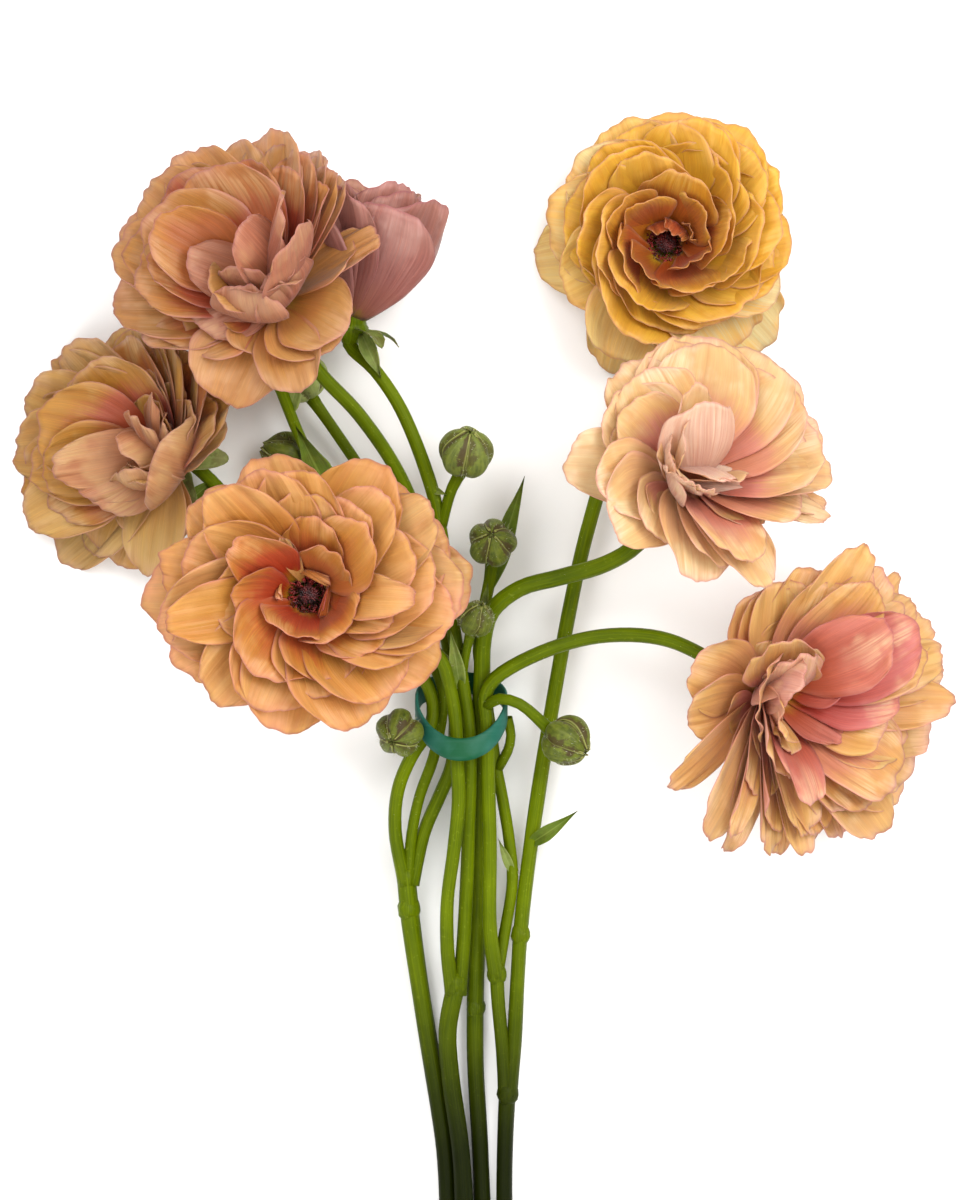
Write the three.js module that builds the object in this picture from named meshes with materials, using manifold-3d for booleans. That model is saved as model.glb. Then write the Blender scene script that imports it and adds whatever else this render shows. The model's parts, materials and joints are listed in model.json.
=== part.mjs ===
// A tied bunch of seven double blooms with their buds, stems and leaves, laid down on its back.
// Units are millimetres and +Z is up. The stems run along Y, with the cut ends at -Y.
import * as THREE from "three";
import { mergeGeometries, mergeVertices } from "three/addons/utils/BufferGeometryUtils.js";
import Module from "manifold-3d";

const wasm = await Module();
wasm.setup();

// Driving dimensions
const gap = 0.4; // clearance kept between neighbouring pieces
const petalThickness = 0.8;
const petalRoll = 0.2; // rise of a petal's one edge over the other, as a share of its half width
const petalClaw = 0.16; // width at a petal's foot, as a share of its full width
const petalRounding = 0.22; // how much shorter a petal is at its edges than along its midrib
const petalCup = 0.5; // how far a petal's edges turn up, in radians
const petalShoulder = 0.7; // where along a petal it reaches its full width
const petalStart = 3.2; // distance of the outermost petals' feet from the bloom's axis
const petalStartStep = 0.9; // further distance for each ring inwards
const petalWave = 0.5;
const tipScatter = 6; // degrees
const lengthScatter = 0.06;
const azimuthScatter = 0.1; // as a share of a ring's spacing
const petalCells = [3, 2]; // facets across and along a petal
const sepals = 5;
const sepalReach = 11.5;
const sepalDroop = 5;
const sepalThickness = 0.9;
const notchReach = 0.6; // reach of the notch between two sepals, as a share of a sepal's
const calyxRadius = 5;
const calyxNeck = 2.6;
const calyxShoulder = 3; // depth below the petals at which the calyx reaches its radius
const calyxDepth = 5.5;
const coreRadius = 6.5;
const coreHeight = 7;
const eyeHeight = 8; // of the eye's middle above the foot of the petals
const stemSides = 6;
const stemStep = 18; // length of one facet along a stem
const knotStretch = 1.2;
const bractThickness = 0.9;
const leafThickness = 1;
const budRibs = 5;
const budRibHeight = 0.07;
const budTaper = 0.12;
const budSquash = 0.96;
const budSeat = 0.85; // where a stalk ends under a bud's middle, as a share of the bud's radius
const tieWidth = 5.2;
const tieThickness = 1.2;
const tieCentre = [-5.7, -32, 15.3];
const tieRadii = [13.2, 12.2]; // inner half width and half depth of the loop
const tieLean = 1.05; // how far the loop's front hangs down towards the cut ends
const tieSides = 18;

// Petal rings, from the outside in. Lengths and widths are shares of the bloom's reach,
// and the two angles, at the petal's base and at its tip, are measured from the bloom's axis.
const openRings = [
  { count: 5, length: 1, width: 1.12, base: 56, tip: 86, height: 1.5 },
  { count: 4, length: 0.84, width: 1, base: 36, tip: 66, height: 3.5 },
  { count: 3, length: 0.6, width: 0.75, base: 14, tip: 44, height: 5.5 },
];
const cuppedRings = [
  { count: 5, length: 1, width: 0.85, base: 42, tip: 12, height: 1.5 },
  { count: 4, length: 0.94, width: 0.6, base: 22, tip: 4, height: 3.5 },
];
const ballRings = [
  { count: 5, length: 0.92, width: 1.1, base: 84, tip: 62, height: 1.5 },
  { count: 4, length: 0.8, width: 1, base: 66, tip: 28, height: 3.5 },
  { count: 3, length: 0.62, width: 0.75, base: 40, tip: 8, height: 5.5 },
];

// Each bloom has its foot, the way it faces, its reach, its rings and its stray petals.
// A petal's azimuth is 0 at the right of the bunch and 90 at its top.
const blooms = {
  A: {
    foot: [-60.5, 89, 44],
    facing: [-0.28, 0.5, 0.82],
    reach: 45,
    rings: openRings,
    lopsided: 0.06,
    longSide: 170,
    turn: 10,
    eyeRadius: 4,
    strays: [
      { azimuth: 292, length: 30, width: 22, base: 84, tip: 112 },
      { azimuth: 335, length: 32, width: 24, base: 78, tip: 96 },
    ],
    colour: "#d99a70",
    seed: 11,
  },
  B: {
    foot: [-39, 84.5, 20],
    facing: [0.24, 0.97, 0.03],
    reach: 39,
    rings: cuppedRings,
    lopsided: 0,
    longSide: 0,
    turn: 30,
    eyeRadius: 4,
    strays: [{ azimuth: 230, length: 24, width: 14, base: 95, tip: 150 }],
    colour: "#c08080",
    seed: 22,
  },
  C: {
    foot: [-93.5, 44, 13],
    facing: [-0.52, 0.14, 0.84],
    reach: 37,
    rings: openRings,
    lopsided: 0.08,
    longSide: 190,
    turn: 0,
    eyeRadius: 4,
    strays: [
      { azimuth: 265, length: 34, width: 26, base: 80, tip: 98 },
      { azimuth: 225, length: 38, width: 24, base: 82, tip: 98 },
    ],
    colour: "#dba365",
    seed: 33,
  },
  D: {
    foot: [-51, 1.5, 45],
    facing: [0.02, 0.02, 1],
    reach: 43.5,
    rings: openRings,
    lopsided: 0.03,
    longSide: 0,
    turn: 20,
    eyeRadius: 4,
    strays: [
      { azimuth: 5, length: 46, width: 30, base: 82, tip: 96 },
      { azimuth: 180, length: 45, width: 30, base: 82, tip: 98 },
    ],
    colour: "#dd8f50",
    seed: 44,
  },
  E: {
    foot: [57, 109, 9.2],
    facing: [0, 0.06, 1],
    reach: 40,
    rings: ballRings,
    lopsided: 0,
    longSide: 0,
    turn: 5,
    eyeRadius: 5.5,
    strays: [
      { azimuth: 250, length: 41, width: 30, base: 90, tip: 124 },
      { azimuth: 318, length: 43, width: 30, base: 90, tip: 124 },
      { azimuth: 185, length: 38, width: 28, base: 88, tip: 118 },
    ],
    colour: "#dd9440",
    seed: 55,
  },
  F: {
    foot: [59.5, 35.5, 49],
    facing: [0.34, 0.42, 0.84],
    reach: 40,
    rings: openRings,
    lopsided: 0.05,
    longSide: 0,
    turn: 15,
    eyeRadius: 4,
    strays: [
      { azimuth: 160, length: 38, width: 20, base: 80, tip: 96 },
      { azimuth: 300, length: 36, width: 24, base: 78, tip: 96 },
    ],
    colour: "#e2a078",
    seed: 66,
  },
  G: {
    foot: [85, -27.5, 31],
    facing: [0.55, -0.12, 0.82],
    reach: 43,
    rings: openRings,
    lopsided: 0.22,
    longSide: -25,
    turn: 0,
    eyeRadius: 4,
    strays: [
      { azimuth: 228, length: 46, width: 24, base: 84, tip: 100 },
      { azimuth: 262, length: 50, width: 26, base: 82, tip: 98 },
      { azimuth: 182, length: 24, width: 18, base: 70, tip: 92 },
    ],
    colour: "#de8a60",
    seed: 77,
  },
};

// Each leafy stem is a list of tubes, with the bloom or bud that a tube ends in, and small bracts.
const stems = {
  stem_left_forked: {
    tubes: [
      { radius: 2.9, route: [
        [-9.5, -196.5, 2.3], [-10.5, -173, 2.3], [-13, -154.5, 2.7],
        [-18, -123.5, 4.5], [-21.5, -98.5, 7.5], [-23, -82.5, 10],
      ] },
      { radius: 2, bloom: "C", route: [
        [-23, -87.5, 10], [-26, -70.5, 13], [-25, -58, 15.5], [-21, -48, 17], [-14.9, -38, 16.6],
        [-14.9, -29, 15.8], [-22, -17, 16.5], [-39.5, 0, 15], [-64.5, 17, 10], [-83, 37, 7],
      ] },
      { radius: 2.1, bloom: "A", route: [
        [-21, -87.5, 9], [-17, -71, 9.5], [-12.5, -60.5, 10], [-8.5, -50.5, 11], [-7.5, -37.5, 12],
        [-7.5, -27.5, 12], [-10, -12.5, 11], [-17, 18.5, 12], [-24.5, 38, 17], [-36.5, 56, 24],
        [-49.5, 70, 31],
      ] },
      { radius: 1.7, bud: "bud_under_bloom", route: [
        [-22, -87.5, 10], [-21, -72, 11.5], [-18.5, -60, 12], [-14.5, -49, 12.5], [-12, -37.5, 12.5],
        [-11.5, -27.5, 12.5], [-18.5, -12.5, 12], [-34, 12.5, 12], [-49, 37, 14], [-56, 52, 18],
      ] },
      { radius: 1.7, bud: "bud_pale", route: [
        [-10, -12.5, 11], [-18.5, 6, 8.5], [-31, 31, 8], [-43, 49.5, 8.5],
      ] },
      { radius: 1.4, bud: "bud_back", route: [[-24.5, 22, 8.4], [-40, 34, 8]] },
      { radius: 1.4, bud: "bud_below", route: [[-19.5, -46, 16.5], [-22, -43.5, 18]] },
    ],
    knots: [[-22, -95, 8, 3.5]],
    bracts: [
      { from: [-34, 13, 12], to: [-44, 24, 20], width: 4, rise: 1.5 },
      { from: [-58, 57, 19.5], to: [-55, 69, 22], width: 5, rise: 1 },
    ],
  },
  stem_middle_forked: {
    tubes: [
      { radius: 2.8, route: [
        [-4.5, -196, 6.2], [-6, -169.5, 6.2], [-9, -148, 6.2], [-10, -132.5, 8], [-7.5, -118.5, 9.5],
      ] },
      { radius: 2.1, bloom: "D", route: [
        [-8.5, -121.5, 9.5], [-10, -107.5, 13], [-10, -92, 16], [-8, -76.5, 19], [-6.5, -61, 20.5],
        [-7, -49, 21], [-7.5, -37, 21], [-9, -27.5, 21.5], [-12, -18, 23.5], [-19.5, -12, 25.5],
        [-35, -6.5, 27], [-46.5, -2, 30],
      ] },
      { radius: 2.1, bloom: "B", route: [
        [-6.5, -121.5, 9], [-5, -104.5, 10], [-4, -86, 12], [-3.5, -70.5, 14], [-3, -52, 15.5],
        [-3.5, -37.5, 15.5], [-5.5, -24.5, 16], [-8.5, -6, 17], [-12, 21.5, 18], [-15, 35, 19],
        [-24, 58, 22], [-32, 70, 23],
      ] },
      { radius: 1.6, bud: "bud_top", route: [[-12, 22, 18], [-8.5, 34, 21]] },
      { radius: 1.3, bud: "bud_hidden", route: [[-5.5, -24.5, 16], [-4.5, -17, 19]] },
    ],
    knots: [[-7.7, -118, 9.4, 3.6]],
    bracts: [
      { from: [-6, -27, 16], to: [-9, -9, 24], width: 5, rise: 2 },
      { from: [-6, -27, 16], to: [-13.5, -13, 17], width: 4.5, rise: 2 },
      { from: [-15, 34, 19], to: [-10, 32, 22], width: 2.5, rise: 0.5 },
    ],
  },
  stem_single: {
    tubes: [
      { radius: 2.6, bloom: "F", route: [
        [1, -196.5, 2], [0, -170, 2], [-1.5, -142.5, 2.6], [-1.5, -123.5, 3.5], [-1, -105, 5],
        [-0.5, -86.5, 6.5], [-0.5, -61.5, 9.5], [0, -37.5, 12], [0.5, -24.5, 13.5], [1, -12, 15],
        [3.5, -3.5, 17], [12, 3.5, 20], [24.5, 7, 23], [38, 11, 27], [47.5, 17, 32],
      ] },
    ],
    knots: [[-1.4, -126, 3.4, 3]],
    bracts: [],
  },
  stem_right_forked: {
    tubes: [
      { radius: 2.6, route: [
        [7.5, -196.5, 2], [7.5, -176.5, 2], [8, -159.5, 3], [8.5, -150.5, 4.5],
      ] },
      { radius: 2.2, route: [[8, -153, 4.5], [7, -139, 6.5], [5.5, -123, 8.5], [5, -112, 10]] },
      { radius: 2.2, bloom: "G", route: [
        [5, -116, 10], [3, -101, 13], [3, -76.5, 15.5], [2.5, -57, 17.5], [2, -37.5, 18.5],
        [1.5, -29, 19], [4.5, -24, 20], [18.5, -16, 22], [36.5, -11, 24], [54.5, -11.5, 26],
        [67, -16.5, 28],
      ] },
      { radius: 1.8, bud: "bud_middle", route: [
        [5, -116.5, 9], [7.5, -103, 8], [10, -86.5, 7.5], [9, -74, 7.5], [7, -61.5, 8], [5, -51, 8],
        [3, -37.5, 7.6], [1, -24.5, 7.8], [-0.5, -15.5, 8.2], [1, -3.5, 9], [3, 6, 10],
      ] },
      { radius: 2.3, bloom: "E", route: [
        [9, -153, 4.5], [10.5, -136, 5.5], [11.5, -117, 6.5], [12.5, -101.5, 7], [15, -80, 7],
        [18.5, -55.5, 7.5], [22.5, -31, 8], [27.5, -3, 9], [31.5, 15.5, 9.5], [36.5, 34, 9],
        [42.5, 55.5, 6.5], [49.5, 77, 4], [54.5, 97, 2.6],
      ] },
      { radius: 1.6, bud: "bud_right", route: [
        [1.5, -32.5, 18.8], [6, -30, 23], [12, -31.5, 24], [17, -35.5, 22],
      ] },
      { radius: 1.5, route: [[5.3, -52, 8], [8.5, -46.5, 11], [9.5, -41.5, 13.5], [8.5, -36, 15.5]] },
    ],
    knots: [[8.4, -152, 4.5, 3.3], [5, -115, 9.6, 3], [12.4, -103, 7, 3]],
    bracts: [
      { from: [0.6, -6, 9.5], to: [2.5, 6, 19], width: 2.6, rise: 0.5 },
      { from: [1.2, -3, 10.2], to: [7, 2, 13], width: 2.4, rise: 0.5 },
      { from: [10, -84, 7.5], to: [5.5, -73, 13], width: 3, rise: 1 },
    ],
  },
};

const buds = {
  bud_top: { at: [-4.2, 45, 27], facing: [0.15, 0.75, 0.65], radius: 8 },
  bud_middle: { at: [3.7, 17.5, 19], facing: [-0.05, 0.35, 0.93], radius: 7.1 },
  bud_hidden: { at: [-1.3, -5.5, 25], facing: [0.3, 0.75, 0.6], radius: 5.6 },
  bud_below: { at: [-24.5, -40.4, 26], facing: [-0.3, -0.35, 0.88], radius: 7 },
  bud_right: { at: [26.5, -43, 22.5], facing: [0.75, -0.45, 0.48], radius: 7.6 },
  bud_pale: { at: [-55.3, 68.5, 11], facing: [-0.45, 0.85, 0.1], radius: 8 },
  bud_back: { at: [-60.6, 44.6, 9.2], facing: [-0.9, 0.35, 0.2], radius: 7 },
  bud_under_bloom: { at: [-63, 71.5, 28], facing: [-0.2, 0.7, 0.7], radius: 5.6 },
};

const leaves = {
  leaf_low: { from: [15.6, -75, 7.5], to: [30, -64.5, 15], width: 5, rise: 3.5 },
  leaf_upright: { from: [2.6, 3, 9.5], to: [13.7, 38, 17], width: 6.5, rise: -2 },
  leaf_dark: { from: [-45.3, 31, 13.5], to: [-56, 53, 26], width: 9, rise: 2 },
  leaf_outer: { from: [-83.2, 36, 7], to: [-98.5, 23, 4], width: 5, rise: 1.5 },
};

// Repeatable random numbers between 0 and 1
function randomFrom(seed) {
  let state = seed * 7919;
  return () => {
    state = (state * 16807) % 2147483647;
    return state / 2147483647;
  };
}

const radians = THREE.MathUtils.degToRad;
const vector = (point) => new THREE.Vector3(...point);

function solidOf(geometry) {
  const bare = geometry.clone();
  bare.deleteAttribute("normal");
  bare.deleteAttribute("uv");
  const merged = mergeVertices(bare, 1e-4);
  return new wasm.Manifold(
    new wasm.Mesh({
      numProp: 3,
      vertProperties: merged.attributes.position.array,
      triVerts: new Uint32Array(merged.index.array),
    }),
  );
}

function fuse(solids) {
  return solids.reduce((sum, solid) => sum.add(solid));
}

// The largest body, so that loose scraps go and sealed hollows are filled
function mainBody(solid) {
  const bodies = solid.decompose();
  bodies.sort((one, other) => other.volume() - one.volume());
  return bodies[0];
}

// Lays a flat sheet of cells over point(across, along, side), for the front and the back alike,
// and closes the sheet round its edge. Across runs from -1 to 1, and along from 0 to 1.
function bladeGeometry(point, [cellsAcross, cellsAlong]) {
  const front = new THREE.PlaneGeometry(2, 1, cellsAcross, cellsAlong);
  const back = front.clone();
  back.index.array.reverse();
  const edgeCells = 2 * (cellsAcross + cellsAlong);
  const edge = new THREE.PlaneGeometry(edgeCells, 1, edgeCells, 1);
  const place = (geometry, cellOf) => {
    const positions = geometry.attributes.position;
    for (let i = 0; i < positions.count; i++) {
      const [column, row, side] = cellOf(positions.getX(i), positions.getY(i));
      const spot = point((2 * column) / cellsAcross - 1, row / cellsAlong, side);
      positions.setXYZ(i, spot.x, spot.y, spot.z);
    }
  };
  const sheetCell = (x, y) => [Math.round(((x + 1) / 2) * cellsAcross), Math.round((y + 0.5) * cellsAlong)];
  place(front, (x, y) => [...sheetCell(x, y), 1]);
  place(back, (x, y) => [...sheetCell(x, y), -1]);
  place(edge, (x, y) => {
    const step = Math.round(x + edgeCells / 2) % edgeCells;
    const side = y > 0 ? 1 : -1;
    if (step < cellsAcross) return [step, 0, side];
    if (step < cellsAcross + cellsAlong) return [cellsAcross, step - cellsAcross, side];
    const stepsLeft = edgeCells - step;
    if (stepsLeft > cellsAlong) return [stepsLeft - cellsAlong, cellsAlong, side];
    return [0, stepsLeft, side];
  });
  return mergeGeometries([front, back, edge]);
}

// A petal springs from its start, out from the bloom's axis, and its height. Its midrib bends
// evenly from the base angle to the tip angle.
function petalGeometry(petal) {
  const base = radians(petal.base);
  const bend = radians(petal.tip) - base || 1e-3;
  const azimuth = radians(petal.azimuth);
  const outwards = new THREE.Vector3(Math.cos(azimuth), Math.sin(azimuth), 0);
  const sideways = new THREE.Vector3(Math.sin(azimuth), -Math.cos(azimuth), 0);
  const axis = new THREE.Vector3(0, 0, 1);
  const point = (across, along, side) => {
    const reach = along * (1 - petalRounding * Math.abs(across) ** 2.2);
    const angle = base + bend * reach;
    const spread = petal.start + (petal.length * (Math.cos(base) - Math.cos(angle))) / bend;
    const rise = petal.height + (petal.length * (Math.sin(angle) - Math.sin(base))) / bend;
    const widening = Math.sin((Math.PI / 2) * Math.min(1, along / petalShoulder));
    const halfWidth = (petal.width / 2) * (petalClaw + (1 - petalClaw) * widening);
    const inwards = outwards.clone().multiplyScalar(-Math.cos(angle));
    inwards.addScaledVector(axis, Math.sin(angle));
    const turn = across * petalCup;
    const lift = halfWidth * ((1 - Math.cos(turn)) / petalCup + petal.roll * across)
      + petalWave * along * Math.cos(petal.phase + 4 * across) + (side * petalThickness) / 2;
    return outwards.clone().multiplyScalar(spread)
      .addScaledVector(axis, rise)
      .addScaledVector(sideways, (halfWidth * Math.sin(turn)) / petalCup)
      .addScaledVector(inwards, lift);
  };
  return bladeGeometry(point, petalCells);
}

// A leaf or bract runs from one point to the other, bulging upwards by its rise
function leafGeometry(leaf, thickness, grow, cells) {
  const from = vector(leaf.from);
  const along = vector(leaf.to).sub(from);
  const side = new THREE.Vector3(0, 0, 1).cross(along).normalize().negate();
  const up = side.clone().cross(along).normalize();
  const point = (u, v, face) => {
    const halfWidth = (0.25 + 0.75 * Math.sin(Math.PI * v ** 0.8) ** 0.8) * (leaf.width / 2) + grow;
    return from.clone().addScaledVector(along, v)
      .addScaledVector(up, leaf.rise * Math.sin(Math.PI * v) + 0.12 * leaf.width * u * u)
      .addScaledVector(up, (face * thickness) / 2 + face * grow)
      .addScaledVector(side, u * halfWidth * (1 - 0.85 * v ** 3));
  };
  return bladeGeometry(point, cells);
}

function facingFrame(at, facing) {
  const axis = vector(facing).normalize();
  const up = new THREE.Vector3(0, 1, 0);
  up.addScaledVector(axis, -up.dot(axis)).normalize();
  const right = up.clone().cross(axis);
  return new THREE.Matrix4().makeBasis(right, up, axis).setPosition(...at);
}

// A tube grows in radius, and past its end by as much
function tubeSolid(radius, route, grow) {
  const points = route.map(vector);
  const end = points.at(-1);
  end.addScaledVector(end.clone().sub(points.at(-2)).normalize(), grow);
  const path = new THREE.CatmullRomCurve3(points, false, "centripetal");
  const section = new THREE.Shape();
  for (let side = 0; side < stemSides; side++) {
    const angle = (2 * Math.PI * side) / stemSides;
    const corner = [(radius + grow) * Math.cos(angle), (radius + grow) * Math.sin(angle)];
    if (side === 0) section.moveTo(...corner);
    else section.lineTo(...corner);
  }
  const steps = Math.ceil(path.getLength() / stemStep);
  return solidOf(new THREE.ExtrudeGeometry(section, { steps, extrudePath: path }));
}

// The green foot of a bloom, lathed, with its rim drawn out into five bent-back sepals
function calyxSolid(bloom, grow) {
  const profile = [
    [0, -calyxDepth - grow],
    [calyxNeck + grow, -calyxDepth - grow],
    [calyxRadius + grow, -calyxShoulder - grow],
    [sepalReach + grow, -sepalDroop - grow],
    [sepalReach + grow, grow - sepalDroop + sepalThickness],
    [calyxRadius + grow, grow],
    [0, grow],
  ];
  const cup = new THREE.LatheGeometry(profile.map(([x, y]) => new THREE.Vector2(x, y)), 2 * sepals);
  cup.rotateX(Math.PI / 2);
  const positions = cup.attributes.position;
  for (let i = 0; i < positions.count; i++) {
    const [x, y, z] = [positions.getX(i), positions.getY(i), positions.getZ(i)];
    const radius = Math.hypot(x, y);
    if (radius < sepalReach) continue;
    const lobe = 0.5 + 0.5 * Math.cos(sepals * Math.atan2(y, x));
    const share = notchReach + (1 - notchReach) * lobe;
    positions.setXYZ(i, x * share, y * share, z * (0.3 + 0.7 * lobe));
  }
  cup.rotateZ(radians(bloom.turn));
  return solidOf(cup.applyMatrix4(facingFrame(bloom.foot, bloom.facing)));
}

function stemSolid(stem, grow) {
  const solids = [];
  for (const tube of stem.tubes) {
    const route = [...tube.route];
    if (tube.bloom) {
      const { foot, facing } = blooms[tube.bloom];
      const behind = vector(facing).normalize().multiplyScalar(-calyxDepth - 1);
      route.push(vector(foot).add(behind).toArray());
      route.push(vector(foot).addScaledVector(behind, 0.4).toArray());
      solids.push(calyxSolid(blooms[tube.bloom], grow));
    }
    if (tube.bud) {
      const { at, facing, radius } = buds[tube.bud];
      const under = vector(facing).normalize().multiplyScalar(-budSeat * radius);
      route.push(vector(at).add(under).toArray());
    }
    solids.push(tubeSolid(tube.radius, route, grow));
  }
  for (const [x, y, z, radius] of stem.knots) {
    const knot = new THREE.SphereGeometry(radius + grow, 6, 3);
    solids.push(solidOf(knot.scale(1, knotStretch, 1).translate(x, y, z)));
  }
  for (const bract of stem.bracts) {
    solids.push(solidOf(leafGeometry(bract, bractThickness, grow, [2, 2])));
  }
  return fuse(solids);
}

function eyeSolid(bloom, grow) {
  const eye = new THREE.SphereGeometry(1, 8, 5);
  eye.rotateX(Math.PI / 2);
  const radius = bloom.eyeRadius + grow;
  eye.scale(radius, radius, radius * 0.9).translate(0, 0, eyeHeight);
  return solidOf(eye.applyMatrix4(facingFrame(bloom.foot, bloom.facing)));
}

function petalsSolid(bloom) {
  const random = randomFrom(bloom.seed);
  const petals = [];
  for (const [ringNumber, ring] of bloom.rings.entries()) {
    for (let number = 0; number < ring.count; number++) {
      const place = number + 0.5 * ringNumber + azimuthScatter * random();
      const azimuth = bloom.turn + (360 * place) / ring.count;
      const stretch = 1 + bloom.lopsided * Math.cos(radians(azimuth - bloom.longSide));
      petals.push({
        azimuth,
        start: petalStart + ringNumber * petalStartStep,
        height: ring.height,
        base: ring.base,
        tip: ring.tip + tipScatter * (random() - 0.5),
        length: ring.length * bloom.reach * (1 + lengthScatter * (random() - 0.5)) * stretch,
        width: ring.width * bloom.reach,
        phase: 6 * random(),
        roll: petalRoll,
      });
    }
  }
  for (const stray of bloom.strays) {
    petals.push({ ...stray, start: petalStart, height: 1, phase: 1, roll: 0 });
  }
  const profile = [[0, 0], [coreRadius, 0], [coreRadius, coreHeight], [0, coreHeight]];
  const core = new THREE.LatheGeometry(profile.map(([x, y]) => new THREE.Vector2(x, y)), 8);
  core.rotateX(Math.PI / 2);
  const frame = facingFrame(bloom.foot, bloom.facing);
  const geometries = [core, ...petals.map(petalGeometry)];
  return fuse(geometries.map((geometry) => solidOf(geometry.applyMatrix4(frame))));
}

function budSolid(bud) {
  const ball = new THREE.SphereGeometry(1, 2 * budRibs, 6);
  ball.rotateX(Math.PI / 2);
  const positions = ball.attributes.position;
  for (let i = 0; i < positions.count; i++) {
    const spot = new THREE.Vector3().fromBufferAttribute(positions, i);
    const across = Math.hypot(spot.x, spot.y);
    const rib = 1 + budRibHeight * across * Math.cos(budRibs * Math.atan2(spot.y, spot.x));
    const shoulder = spot.z > 0 ? 1 - budTaper * spot.z * across : 1;
    positions.setXYZ(i, spot.x * rib * shoulder, spot.y * rib * shoulder, spot.z * budSquash);
  }
  ball.scale(bud.radius, bud.radius, bud.radius);
  return solidOf(ball.applyMatrix4(facingFrame(bud.at, bud.facing)));
}

// A band lathed round its own axis, squeezed to an oval and leaned over
function tieSolid() {
  const half = tieWidth / 2;
  const outer = 1 + tieThickness / tieRadii[0];
  const profile = [[1, -half], [outer, -half], [outer, half], [1, half], [1, -half]];
  const band = new THREE.LatheGeometry(profile.map(([x, y]) => new THREE.Vector2(x, y)), tieSides);
  band.scale(tieRadii[0], 1, tieRadii[1]);
  const lean = new THREE.Matrix4().makeShear(0, 0, 0, 0, 0, -tieLean);
  return solidOf(band.applyMatrix4(lean).translate(...tieCentre));
}

function tableCut() {
  return solidOf(new THREE.BoxGeometry(800, 800, 200).translate(0, 0, -100));
}

function meshOf(name, solid, colour, roughness) {
  const { vertProperties, triVerts } = mainBody(solid).getMesh();
  const geometry = new THREE.BufferGeometry();
  geometry.setAttribute("position", new THREE.BufferAttribute(vertProperties, 3));
  geometry.setIndex(new THREE.BufferAttribute(triVerts, 1));
  const material = new THREE.MeshStandardMaterial({ color: colour, roughness, metalness: 0 });
  const mesh = new THREE.Mesh(geometry, material);
  mesh.name = name;
  return mesh;
}

function buildBunch() {
  const bunch = new THREE.Group();
  const below = tableCut();
  const clearance = fuse(Object.values(stems).map((stem) => stemSolid(stem, gap)));
  for (const [name, stem] of Object.entries(stems)) {
    bunch.add(meshOf(name, stemSolid(stem, 0).subtract(below), "#6f8a2e", 0.5));
  }
  for (const [letter, bloom] of Object.entries(blooms)) {
    const petals = petalsSolid(bloom).subtract(eyeSolid(bloom, gap));
    const clear = petals.subtract(clearance).subtract(below);
    bunch.add(meshOf(`bloom_${letter}_petals`, clear, bloom.colour, 0.55));
    bunch.add(meshOf(`bloom_${letter}_eye`, eyeSolid(bloom, 0), "#3a1014", 0.7));
  }
  for (const [name, bud] of Object.entries(buds)) {
    bunch.add(meshOf(name, budSolid(bud).subtract(clearance).subtract(below), "#7b8f45", 0.6));
  }
  for (const [name, leaf] of Object.entries(leaves)) {
    const blade = solidOf(leafGeometry(leaf, leafThickness, 0, [2, 5]));
    bunch.add(meshOf(name, blade.subtract(clearance), "#4e7a2a", 0.5));
  }
  bunch.add(meshOf("tie", tieSolid(), "#2f7566", 0.35));
  return bunch;
}

const bunch = buildBunch();
const middle = new THREE.Box3().setFromObject(bunch).getCenter(new THREE.Vector3());
bunch.position.set(-middle.x, -middle.y, 0);
const part = new THREE.Group();
part.add(bunch);

export default part;
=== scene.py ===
# A tied bunch of double ranunculus blooms, laid on its back on a pale table.
# The dictionaries are in millimetres, in the drawing's own frame; the finished meshes are in metres.
import json
import math
from random import Random

import bmesh
import bpy
from mathutils import Matrix, Vector, geometry, noise

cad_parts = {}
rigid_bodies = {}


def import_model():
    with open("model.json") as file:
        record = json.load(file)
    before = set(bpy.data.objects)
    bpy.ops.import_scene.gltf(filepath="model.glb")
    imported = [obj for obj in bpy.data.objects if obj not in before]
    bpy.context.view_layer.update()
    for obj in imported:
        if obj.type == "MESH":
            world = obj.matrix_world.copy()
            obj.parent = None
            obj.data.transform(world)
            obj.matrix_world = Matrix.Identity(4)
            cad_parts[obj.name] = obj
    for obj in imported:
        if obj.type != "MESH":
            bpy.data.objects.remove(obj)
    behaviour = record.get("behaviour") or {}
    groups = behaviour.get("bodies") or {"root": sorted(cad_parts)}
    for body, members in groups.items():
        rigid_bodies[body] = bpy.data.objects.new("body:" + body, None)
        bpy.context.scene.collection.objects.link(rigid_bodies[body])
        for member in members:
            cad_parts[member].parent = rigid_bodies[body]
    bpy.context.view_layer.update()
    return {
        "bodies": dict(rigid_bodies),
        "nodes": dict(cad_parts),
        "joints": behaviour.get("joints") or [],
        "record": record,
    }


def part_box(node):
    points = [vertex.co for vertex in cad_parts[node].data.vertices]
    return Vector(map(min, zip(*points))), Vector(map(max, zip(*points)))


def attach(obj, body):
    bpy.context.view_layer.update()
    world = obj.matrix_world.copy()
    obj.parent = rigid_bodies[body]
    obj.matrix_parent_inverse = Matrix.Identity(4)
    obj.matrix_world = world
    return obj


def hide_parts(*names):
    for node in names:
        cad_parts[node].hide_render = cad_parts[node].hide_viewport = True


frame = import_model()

print("cad nodes loaded:", len(frame["nodes"]))

tie = {
    "centre": (-5.7, -32, 15.3),
    "radii": (13.2, 12.2),
    "outside": 0.5,
    "width": 6.6,
    "thickness": 1.0,
    "lean": 1.05,
    "sides": 96,
    "colour": "#205c4e",
    "dark": "#064a2a",
    "pale": "#386c60",
}

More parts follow.
